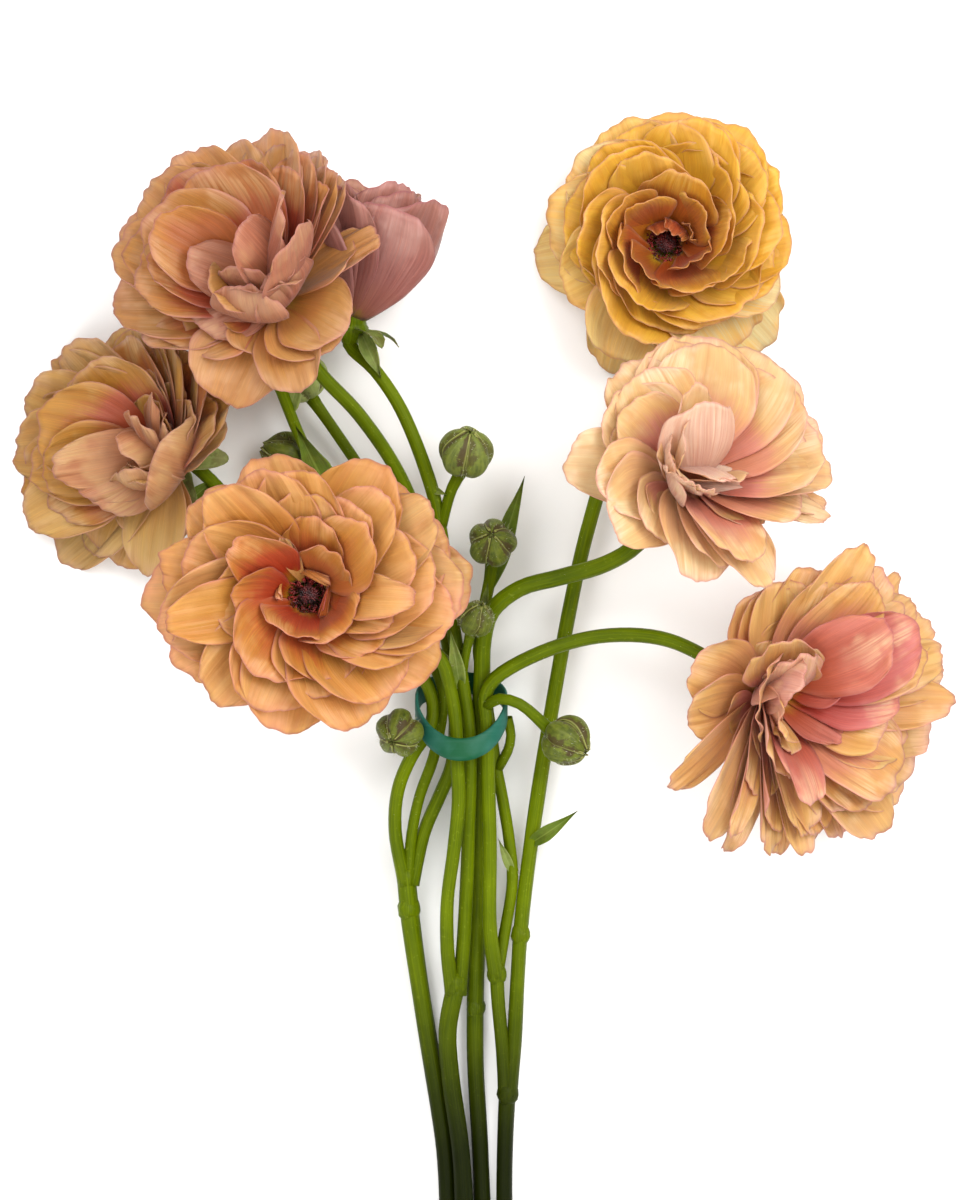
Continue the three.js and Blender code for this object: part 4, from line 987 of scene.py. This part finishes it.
stems = {
    "stem_left_forked": {
        "tubes": [
            {"radius": 2.9, "route": [
                [-9.5, -196.5, 2.3], [-10.5, -173, 2.3], [-13, -154.5, 2.7],
                [-18, -123.5, 4.5], [-21.5, -98.5, 7.5], [-23, -82.5, 10],
            ]},
            {"radius": 2, "bloom": "C", "route": [
                [-23, -87.5, 10], [-26, -70.5, 13], [-25, -58, 15.5], [-21, -48, 17], [-14.9, -38, 16.6],
                [-14.9, -29, 15.8], [-22, -17, 16.5], [-39.5, 0, 15], [-64.5, 17, 10], [-83, 37, 7],
            ]},
            {"radius": 2.1, "bloom": "A", "route": [
                [-21, -87.5, 9], [-17, -71, 9.5], [-12.5, -60.5, 10], [-8.5, -50.5, 11], [-7.5, -37.5, 12],
                [-7.5, -27.5, 12], [-10, -12.5, 11], [-17, 18.5, 12], [-24.5, 38, 17], [-36.5, 56, 24],
                [-49.5, 70, 31],
            ]},
            {"radius": 1.7, "bud": "bud_under_bloom", "route": [
                [-22, -87.5, 10], [-21, -72, 11.5], [-18.5, -60, 12], [-14.5, -49, 12.5], [-12, -37.5, 12.5],
                [-11.5, -27.5, 12.5], [-18.5, -12.5, 12], [-34, 12.5, 12], [-49, 37, 14], [-56, 52, 18],
            ]},
            {"radius": 1.7, "bud": "bud_pale", "route": [
                [-10, -12.5, 11], [-18.5, 6, 8.5], [-31, 31, 8], [-43, 49.5, 8.5],
            ]},
            {"radius": 1.4, "bud": "bud_back", "route": [[-24.5, 22, 8.4], [-40, 34, 8]]},
            {"radius": 1.4, "bud": "bud_below", "route": [[-19.5, -46, 16.5], [-22, -43.5, 18]]},
        ],
        "knots": [[-22, -95, 8, 3.5]],
        "bracts": [
            {"from": [-34, 13, 12], "to": [-44, 24, 20], "width": 4, "rise": 1.5},
            {"from": [-58, 57, 19.5], "to": [-55, 69, 22], "width": 5, "rise": 1},
        ],
    },
    "stem_middle_forked": {
        "tubes": [
            {"radius": 2.8, "route": [
                [-4.5, -196, 6.2], [-6, -169.5, 6.2], [-9, -148, 6.2], [-10, -132.5, 8], [-7.5, -118.5, 9.5],
            ]},
            {"radius": 2.1, "bloom": "D", "route": [
                [-8.5, -121.5, 9.5], [-10, -107.5, 13], [-10, -92, 16], [-8, -76.5, 19], [-6.5, -61, 20.5],
                [-7, -49, 21], [-7.5, -37, 21], [-9, -27.5, 21.5], [-12, -18, 23.5], [-19.5, -12, 25.5],
                [-35, -6.5, 27], [-46.5, -2, 30],
            ]},
            {"radius": 2.1, "bloom": "B", "route": [
                [-6.5, -121.5, 9], [-5, -104.5, 10], [-4, -86, 12], [-3.5, -70.5, 14], [-3, -52, 15.5],
                [-3.5, -37.5, 15.5], [-5.5, -24.5, 16], [-8.5, -6, 17], [-12, 21.5, 18], [-15, 35, 19],
                [-24, 58, 22], [-32, 70, 23],
            ]},
            {"radius": 1.6, "bud": "bud_top", "route": [[-12, 22, 18], [-8.5, 34, 21]]},
            {"radius": 1.3, "bud": "bud_hidden", "route": [[-5.5, -24.5, 16], [-4.5, -17, 19]]},
        ],
        "knots": [[-7.7, -118, 9.4, 3.6]],
        "bracts": [
            {"from": [-6, -27, 16], "to": [-9, -9, 24], "width": 5, "rise": 2},
            {"from": [-6, -27, 16], "to": [-13.5, -13, 17], "width": 4.5, "rise": 2},
            {"from": [-15, 34, 19], "to": [-10, 32, 22], "width": 2.5, "rise": 0.5},
            {"from": [-36, 81, 24], "to": [-30, 67.5, 26], "width": 5.5, "rise": 1},
        ],
    },
    "stem_single": {
        "tubes": [
            {"radius": 2.6, "bloom": "F", "route": [
                [1, -196.5, 2], [0, -170, 2], [-1.5, -142.5, 2.6], [-1.5, -123.5, 3.5], [-1, -105, 5],
                [-0.5, -86.5, 6.5], [-0.5, -61.5, 9.5], [0, -37.5, 12], [0.5, -24.5, 13.5], [1, -12, 15],
                [3.5, -3.5, 17], [12, 3.5, 20], [24.5, 7, 23], [38, 11, 27], [47.5, 17, 32],
            ]},
        ],
        "knots": [[-1.4, -126, 3.4, 3]],
        "bracts": [],
    },
    "stem_right_forked": {
        "tubes": [
            {"radius": 2.6, "route": [
                [7.5, -196.5, 2], [7.5, -176.5, 2], [8, -159.5, 3], [8.5, -150.5, 4.5],
            ]},
            {"radius": 2.2, "route": [[8, -153, 4.5], [7, -139, 6.5], [5.5, -123, 8.5], [5, -112, 10]]},
            {"radius": 2.2, "bloom": "G", "route": [
                [5, -116, 10], [3, -101, 13], [3, -76.5, 15.5], [2.5, -57, 17.5], [2, -37.5, 18.5],
                [1.5, -29, 19], [4.5, -24, 20], [18.5, -16, 22], [36.5, -11, 24], [54.5, -11.5, 26],
                [67, -16.5, 28],
            ]},
            {"radius": 1.8, "bud": "bud_middle", "route": [
                [5, -116.5, 9], [7.5, -103, 8], [10, -86.5, 7.5], [9, -74, 7.5], [7, -61.5, 8], [5, -51, 8],
                [3, -37.5, 7.6], [1, -24.5, 7.8], [-0.5, -15.5, 8.2], [1, -3.5, 9], [3, 6, 10],
            ]},
            {"radius": 2.3, "bloom": "E", "route": [
                [9, -153, 4.5], [10.5, -136, 5.5], [11.5, -117, 6.5], [12.5, -101.5, 7], [15, -80, 7],
                [18.5, -55.5, 7.5], [22.5, -31, 8], [27.5, -3, 9], [31.5, 15.5, 9.5], [36.5, 34, 9],
                [42.5, 55.5, 6.5], [49.5, 77, 4], [54.5, 97, 2.6],
            ]},
            {"radius": 1.6, "bud": "bud_right", "route": [
                [1.5, -32.5, 18.8], [6, -30, 23], [12, -31.5, 24], [17, -35.5, 22],
            ]},
            {"radius": 1.5, "stub": True, "route": [
                [5.3, -52, 8], [8.5, -46.5, 11], [9.5, -41.5, 13.5], [8.5, -36, 15.5],
            ]},
        ],
        "knots": [[8.4, -152, 4.5, 3.3], [5, -115, 9.6, 3], [12.4, -103, 7, 3]],
        "bracts": [
            {"from": [0.6, -6, 9.5], "to": [2.5, 6, 19], "width": 2.6, "rise": 0.5},
            {"from": [1.2, -3, 10.2], "to": [7, 2, 13], "width": 2.4, "rise": 0.5},
            {"from": [10, -84, 7.5], "to": [5.5, -73, 13], "width": 3, "rise": 1},
        ],
    },
}

buds = {
    "bud_top": {"pale": 0.1, "at": [-4.2, 45, 27], "facing": [0.15, 0.75, 0.65], "radius": 8},
    "bud_middle": {"at": [3.7, 17.5, 19], "facing": [-0.05, 0.35, 0.93], "radius": 7.1},
    "bud_hidden": {"at": [-1.3, -5.5, 25], "facing": [0.3, 0.75, 0.6], "radius": 5.6},
    "bud_below": {"at": [-24.5, -40.4, 26], "facing": [-0.3, -0.35, 0.88], "radius": 7},
    "bud_right": {"at": [26.5, -43, 22.5], "facing": [0.75, -0.45, 0.48], "radius": 7.6},
    "bud_pale": {"pale": 0.75, "at": [-55.3, 68.5, 11], "facing": [-0.45, 0.85, 0.1], "radius": 8},
    "bud_back": {"at": [-60.6, 44.6, 9.2], "facing": [-0.9, 0.35, 0.2], "radius": 7},
    "bud_under_bloom": {"pale": 0.35, "at": [-63, 71.5, 28], "facing": [-0.2, 0.7, 0.7], "radius": 5.6},
}

leaves = {
    "leaf_low": {"from": [15.6, -75, 7.5], "to": [30, -64.5, 15], "width": 5, "rise": 3.5},
    "leaf_upright": {"from": [2.6, 3, 9.5], "to": [13.7, 38, 17], "width": 6.5, "rise": -2},
    "leaf_dark": {"from": [-45.3, 31, 13.5], "to": [-56, 53, 26], "width": 9, "rise": 2},
    "leaf_outer": {"from": [-83.2, 36, 7], "to": [-98.5, 23, 4], "width": 5, "rise": 1.5},
}

# The green foot behind each bloom: its depth, its outline as depths and radii, and its five sepals
petalFoot = {
    "depth": 5.5, "sides": 20, "sepals": 5, "sepalThickness": 0.5,
    "profile": [
        (-6.5, 2.2), (-5.2, 3), (-4, 4.3), (-2.4, 5.3), (-0.8, 5.2), (0, 4.6), (1.2, 4.1), (3, 3.4),
        (4.6, 2.4),
    ],
}
sepalForm = {
    "start": 4.4, "height": -2.2, "length": 12.5, "width": 8.5, "base": 86, "bend": 1.4, "roll": 0,
    "warp": 0.8, "ruffle": 0.3, "rounding": 0.5, "claw": 0.5, "shoulder": 0.5, "blush": 0.5, "cells": (8, 9),
}


def addCalyx(bm, bloom, layers, rng):
    place = facingPlace(bloom["foot"], bloom["facing"])
    line = [place @ Vector((0, 0, depth)) for depth, radius in petalFoot["profile"]]
    radii = [radius for depth, radius in petalFoot["profile"]]
    addTube(bm, layers["spot"], line, radii, rng.random(), petalFoot["sides"])
    for number in range(petalFoot["sepals"]):
        azimuth = bloom["turn"] + 360 / petalFoot["sepals"] * number
        tip = 128 + 30 * rng.random()
        sepal = {**sepalForm, "azimuth": azimuth, "tip": tip, "pale": 0.5 * rng.random()}
        verts = addPetal(bm, place, sepal, layers["uv"], layers["tint"], rng)
        paintFaces(verts, 1)
        thicken(bm, facesOf(verts), petalFoot["sepalThickness"], 1)


# How the stems' tubes are laid. The swelling at a fork or at a bud's neck goes with how fast it fades
tubeForm = {
    "spacing": 3, "cutBelow": -190, "fork": (0.16, 0.6), "neck": (0.35, 0.8), "unevenness": (0.07, 0.12),
    "budSeat": 0.85, "hairsAbove": -70, "hairsEach": 2, "hairRoot": 0.7, "shortHair": 1,
    "bractThickness": 0.5, "bractCells": (6, 10),
}


def addStalk(bm, layers, tube, rng):
    route = [Vector(point) for point in tube["route"]]
    hollow = 1 if route[0].y < tubeForm["cutBelow"] else None
    if "bloom" in tube:
        bloom = blooms[tube["bloom"]]
        foot = Vector(bloom["foot"])
        behind = -(petalFoot["depth"] + 1) * Vector(bloom["facing"]).normalized()
        route += [foot + behind, foot + 0.4 * behind]
        addCalyx(bm, bloom, layers, rng)
    if "bud" in tube:
        bud = buds[tube["bud"]]
        seat = tubeForm["budSeat"] * bud["radius"]
        route.append(Vector(bud["at"]) - seat * Vector(bud["facing"]).normalized())
    if tube.get("stub"):
        hollow = -1
    line = routeOf(route, tubeForm["spacing"])
    seed = 30 * rng.random()
    (fork, forkFade), (neck, neckFade) = tubeForm["fork"], tubeForm["neck"]
    depth, pace = tubeForm["unevenness"]
    radii = []
    for step in range(len(line)):
        swell = 1 + fork * math.exp(-step * forkFade) + depth * noise.noise((step * pace, seed, 0))
        if "bud" in tube:
            swell += neck * math.exp(-(len(line) - 1 - step) * neckFade)
        radii.append(tube["radius"] * swell)
    addTube(bm, layers["spot"], line, radii, rng.random(), hollow=hollow)
    for at in [at for at in line if at.y > tubeForm["hairsAbove"]]:
        for count in range(tubeForm["hairsEach"]):
            turn = gaussVector(rng).normalized()
            base = at + turn * tube["radius"] * tubeForm["hairRoot"]
            addHair(bm, base, turn, tubeForm["shortHair"] + hair["longer"] * rng.random())


for number, (name, stem) in enumerate(stems.items()):
    rng = Random(seeds["stems"] + number)
    bm = bmesh.new()
    layers = {
        "spot": bm.verts.layers.float_color.new("stalkSpot"),
        "uv": bm.loops.layers.uv.new("bladeUv"),
        "tint": bm.verts.layers.float_color.new("bladeTint"),
    }
    for tube in stem["tubes"]:
        addStalk(bm, layers, tube, rng)
    for x, y, z, radius in stem["knots"]:
        addKnot(bm, layers["spot"], (x, y, z), radius, rng.random())
    for bract in stem["bracts"]:
        tint = (rng.random(), 0.3, 0.2 * rng.random(), 1)
        thickness, cells = tubeForm["bractThickness"], tubeForm["bractCells"]
        addLeaf(bm, bract, layers["uv"], layers["tint"], thickness, 1, tint, cells)
    materials = [stemMaterial, sepalMaterial, downMaterial]
    finishPiece(name.replace("stem_", "stemGrown_"), bm, [name], materials)


# A bud is five puffed sepals round a lumpy heart, with pale hairs
budForm = {
    "heart": 0.84, "flat": 0.96, "sepals": 5, "cells": (16, 20), "thickness": 0.35, "halfAngle": 39,
    "puff": 0.28, "pinch": 0.19, "ridge": 0.09, "hairs": 170, "hairRoot": 0.93, "hairLean": 0.6,
    "shortHair": 0.9,
}


def budPoint(u, v, turn, seed, radius):
    polar = math.pi * (1 - (0.04 + 0.945 * v) * (1 - 0.05 * abs(u) ** 2))
    azimuth = math.radians(turn + u * (budForm["halfAngle"] - 2 * v)) + 0.12 * noise.noise((seed, 3 * v, 0))
    puff = math.sin(math.pi * v) ** 0.7
    reach = 1 + budForm["puff"] * puff * (1 - u * u) ** 0.8 - budForm["pinch"] * puff + 0.02 * u
    reach += budForm["ridge"] * smoothStep(0.8, 1, abs(u)) * smoothStep(0.05, 0.5, v)
    reach += 0.03 * noise.noise((3 * u + seed, 4 * v, seed)) * puff + 0.02 * smoothStep(0.9, 1, v)
    across = math.sin(polar)
    reach *= 1 - (0.12 * math.cos(polar) * across if polar < math.pi / 2 else 0)
    spot = Vector((math.cos(azimuth) * across, math.sin(azimuth) * across, budForm["flat"] * math.cos(polar)))
    return spot * reach * radius


for number, (name, bud) in enumerate(buds.items()):
    rng = Random(seeds["buds"] + number)
    bm, uvLayer, tintLayer = newBlades()
    place = facingPlace(bud["at"], bud["facing"])
    radius, pale = bud["radius"], bud.get("pale", 0)
    heartRadius = radius * budForm["heart"]
    heart = bmesh.ops.create_uvsphere(bm, u_segments=20, v_segments=14, radius=heartRadius)["verts"]
    for vert in heart:
        vert.co *= 1 + 0.06 * noise.noise(vert.co * 0.4)
        vert.co.z *= budForm["flat"]
        vert[tintLayer] = (rng.random(), 0.6, pale, 1)
        vert.co = place @ vert.co
    shells = []
    for sepal in range(budForm["sepals"]):
        verts, faces = addBladeGrid(bm, budForm["cells"], uvLayer)
        turn = 360 / budForm["sepals"] * sepal + 8 * rng.random()
        tint = (rng.random(), 0.5 + 0.5 * rng.random(), pale * (0.6 + 0.4 * rng.random()), 1)
        seed = 30 * rng.random()
        for vert in verts:
            vert[tintLayer] = tint
            vert.co = place @ budPoint(vert.co.x, (vert.co.y + 1) / 2, turn, seed, radius)
        shells.append(faces)
    for faces in shells:
        thicken(bm, faces, budForm["thickness"], 0)
    for count in range(budForm["hairs"]):
        out = spherePoint(math.acos(1 - 2 * rng.random()), fullTurn * rng.random())
        sway = 0.3 * Vector((rng.gauss(0, 1), rng.gauss(0, 1), 0))
        lean = (out + Vector((0, 0, budForm["hairLean"])) + sway).normalized()
        base = place @ (out * radius * budForm["hairRoot"])
        length = budForm["shortHair"] + hair["longer"] * rng.random()
        addHair(bm, base, (place.to_3x3() @ lean).normalized(), length)
    for face in bm.faces:
        face.material_index = min(1, face.material_index)
    finishPiece(name.replace("bud_", "budClosed_"), bm, [name], [budMaterial, downMaterial])

leafForm = {"thickness": 0.45, "cells": (10, 24)}
for number, (name, leaf) in enumerate(leaves.items()):
    bm, uvLayer, tintLayer = newBlades()
    tint = (0.2 * number, 0.25, 0.1, 1)
    addLeaf(bm, leaf, uvLayer, tintLayer, leafForm["thickness"], 0, tint, leafForm["cells"])
    finishPiece(name.replace("leaf_", "leafBlade_"), bm, [name], [bladeMaterial])


# An eye is a dome of dark seeds in a ring of stamens. All but its heights are shares of its radius
eyeForm = {
    "dome": 0.42, "domeTall": 0.3, "domeRise": 5.2, "seeds": 90, "seedTurn": 2.39996, "seedSpot": (0.4, 0.28),
    "seedLength": (0.2, 0.16), "seedThick": 0.07, "stamens": 130, "ring": (0.45, 0.3), "flare": (0.05, 0.25),
    "stamenFoot": 3.4, "stamenTop": (4.6, 2.4), "filament": (0.13, 0.09), "anther": (0.34, 0.26, 0.95, 1),
    "antherTilt": 0.6,
}
eyeMaterials = [
    hairMaterial("darkSeeds", "#1c0608", "#6e1614", 0.45),
    hairMaterial("stamens", "#300a0c", "#8a1a14", 0.5),
    hairMaterial("filaments", "#6e2424", "#a04a38", 0.5),
]
for letter, bloom in blooms.items():
    rng = Random(seeds["eyes"] + bloom["seed"])
    bm = bmesh.new()
    place = facingPlace(bloom["foot"], bloom["facing"])
    radius = bloom["eyeRadius"]
    wide, tall = radius * eyeForm["dome"], radius * eyeForm["domeTall"]
    for vert in bmesh.ops.create_icosphere(bm, subdivisions=2, radius=1)["verts"]:
        vert.co *= 1 + 0.1 * noise.noise(vert.co * 3)
        vert.co = place @ Vector((vert.co.x * wide, vert.co.y * wide, eyeForm["domeRise"] + vert.co.z * tall))
    wide, tall = [radius * share for share in eyeForm["seedSpot"]]
    for count in range(eyeForm["seeds"]):
        out = spherePoint(math.acos(1 - count / eyeForm["seeds"]), eyeForm["seedTurn"] * count)
        at = place @ Vector((out.x * wide, out.y * wide, eyeForm["domeRise"] + out.z * tall))
        lean = (out + 0.5 * Vector((rng.gauss(0, 1), rng.gauss(0, 1), 0.6))).normalized()
        least, more = eyeForm["seedLength"]
        length = (least + more * rng.random()) * radius
        addHair(bm, at, (place.to_3x3() @ lean).normalized(), length, eyeForm["seedThick"] * radius)
    for face in bm.faces:
        face.material_index = 0
    for count in range(eyeForm["stamens"]):
        azimuth = fullTurn * rng.random()
        ringRadius = radius * (eyeForm["ring"][0] + eyeForm["ring"][1] * rng.random())
        out = Vector((math.cos(azimuth), math.sin(azimuth), 0))
        rise = eyeForm["stamenTop"][0] + eyeForm["stamenTop"][1] * rng.random()
        foot = place @ (out * ringRadius + Vector((0, 0, eyeForm["stamenFoot"])))
        flare = radius * (eyeForm["flare"][0] + eyeForm["flare"][1] * rng.random())
        top = place @ (out * (ringRadius + flare) + Vector((0, 0, rise)))
        span = top - foot
        turn = Vector((0, 0, 1)).rotation_difference(span).to_matrix().to_4x4()
        middle = Matrix.Translation((foot + top) / 2) @ turn
        low, high = eyeForm["filament"]
        made = bmesh.ops.create_cone(
            bm, segments=4, radius1=low, radius2=high, depth=span.length, matrix=middle,
        )
        paintFaces(made["verts"], 2)
        tilts = [Matrix.Rotation(rng.gauss(0, eyeForm["antherTilt"]), 4, axis) for axis in "XY"]
        anther = Matrix.Translation(top) @ turn @ (tilts[0] @ tilts[1]) @ Matrix.Diagonal(eyeForm["anther"])
        paintFaces(bmesh.ops.create_icosphere(bm, subdivisions=1, radius=1, matrix=anther)["verts"], 1)
    finishPiece("eye_" + letter, bm, [f"bloom_{letter}_eye"], eyeMaterials)


# The tie is painted darkest and greenest in the middle of its front and paler teal towards its sides; the
# paler sides are painted sheen where the band turns away
def tieMaterial():
    material, tree = newMaterial("tieFilm")
    place = objectSpot(tree)
    wide = outOf(tree, "ShaderNodeMapping", {"Vector": place, "Scale": (60.0, 900.0, 60.0)})
    lines = noiseOf(tree, wide, 1.0, 3.0, 0.6)
    cloud = noiseOf(tree, place, 120.0, 3.0)
    middle = toMetres.translation.x + tie["centre"][0] * metre
    side = mathOf(tree, "SUBTRACT", outOf(tree, "ShaderNodeSeparateXYZ", {0: place}), middle)
    side = rangeOf(tree, mathOf(tree, "ABSOLUTE", side), 0.003, 0.013, 0.0, 1.0, True)
    # painted sheen: from the dark middle of the front to paler teal towards the sides
    colour = mixOf(tree, side, tie["dark"], tie["colour"])
    colour = mixOf(tree, rangeOf(tree, cloud, 0.45, 0.75, 0.0, 0.5), colour, tie["pale"])
    colour = mixOf(tree, rangeOf(tree, lines, 0.5, 0.8, 0.0, 0.3), colour, tie["pale"])
    finishMaterial(tree, outOf(tree, "ShaderNodeBsdfPrincipled", {
        "Base Color": colour, "Roughness": rangeOf(tree, cloud, 0.3, 0.7, 0.42, 0.6),
        "Normal": bumpOf(tree, lines, 0.3, 0.0003), "Specular IOR Level": 0.2,
    }))
    return material


bm = bmesh.new()
profile = bmesh.ops.create_circle(bm, segments=16, radius=1)["verts"]
for vert in profile:
    across, along = vert.co.x, vert.co.y
    rounding = max(abs(across), abs(along))
    across = across / rounding**0.7 * tie["thickness"] / 2 / tie["radii"][0]
    vert.co = Vector((1 + across, along / rounding**0.7 * tie["width"] / 2, 0))
edges = list({edge for vert in profile for edge in vert.link_edges})
bmesh.ops.spin(
    bm, geom=edges, cent=(0, 0, 0), axis=(0, 1, 0), angle=2 * math.pi, steps=tie["sides"], use_merge=True,
)
wide, tall = [radius + tie["outside"] for radius in tie["radii"]]
for vert in bm.verts:
    turn = math.atan2(vert.co.z, vert.co.x)
    cosine, sine = math.cos(turn), math.sin(turn)
    wobble = 0.35 * noise.noise((2 * cosine, 2 * sine, 0))
    wobble += 0.12 * noise.noise((8 * cosine, vert.co.y * 0.4, 8 * sine))
    spot = Vector((vert.co.x * wide, vert.co.y, vert.co.z * tall)) + Vector((cosine, 0.6, sine)) * wobble
    spot.y -= tie["lean"] * max(spot.z, 0.5 * spot.z)
    vert.co = spot + Vector(tie["centre"])
bmesh.ops.recalc_face_normals(bm, faces=bm.faces)
finishPiece("tieBand", bm, ["tie"], [tieMaterial()])

# Table, light and camera, in metres
stage = {"size": 6.0, "colour": "#f4f3f1", "roughness": 0.9, "sky": 1.0}
view = {"height": 1.24, "lens": 120.0}
lamps = {
    "keyLight": {"at": (-0.7, 0.9, 1.5), "size": 0.9, "power": 12},
    "fillLight": {"at": (0.8, 0.45, 1.2), "size": 0.9, "power": 20},
    "frontLight": {"at": (-0.3, -0.9, 1.4), "size": 1.2, "power": 10},
}

bm = bmesh.new()
bmesh.ops.create_grid(bm, x_segments=1, y_segments=1, size=stage["size"] / 2)
mesh = bpy.data.meshes.new("table")
bm.to_mesh(mesh)
bm.free()
table = bpy.data.objects.new("table", mesh)
bpy.context.scene.collection.objects.link(table)
material, tree = newMaterial("paleTable")
finishMaterial(tree, outOf(tree, "ShaderNodeBsdfPrincipled", {
    "Base Color": paint(stage["colour"]), "Roughness": stage["roughness"],
}))
mesh.materials.append(material)

world = bpy.data.worlds.new("studio")
bpy.context.scene.world = world
world.use_nodes = True
world.node_tree.nodes["Background"].inputs[0].default_value = (1, 1, 1, 1)
world.node_tree.nodes["Background"].inputs[1].default_value = stage["sky"]

for name, lamp in lamps.items():
    light = bpy.data.lights.new(name, "AREA")
    light.size = lamp["size"]
    light.energy = lamp["power"]
    holder = bpy.data.objects.new(name, light)
    bpy.context.scene.collection.objects.link(holder)
    holder.location = lamp["at"]
    holder.rotation_mode = "QUATERNION"
    holder.rotation_quaternion = (-Vector(lamp["at"])).to_track_quat("-Z", "Y")

lens = bpy.data.cameras.new("camera")
lens.lens = view["lens"]
camera = bpy.data.objects.new("camera", lens)
bpy.context.scene.collection.objects.link(camera)
camera.location = (drawingOffset.x, drawingOffset.y, view["height"])
bpy.context.scene.camera = camera
bpy.context.scene.view_settings.view_transform = "Standard"
print("stage, lights and camera set")
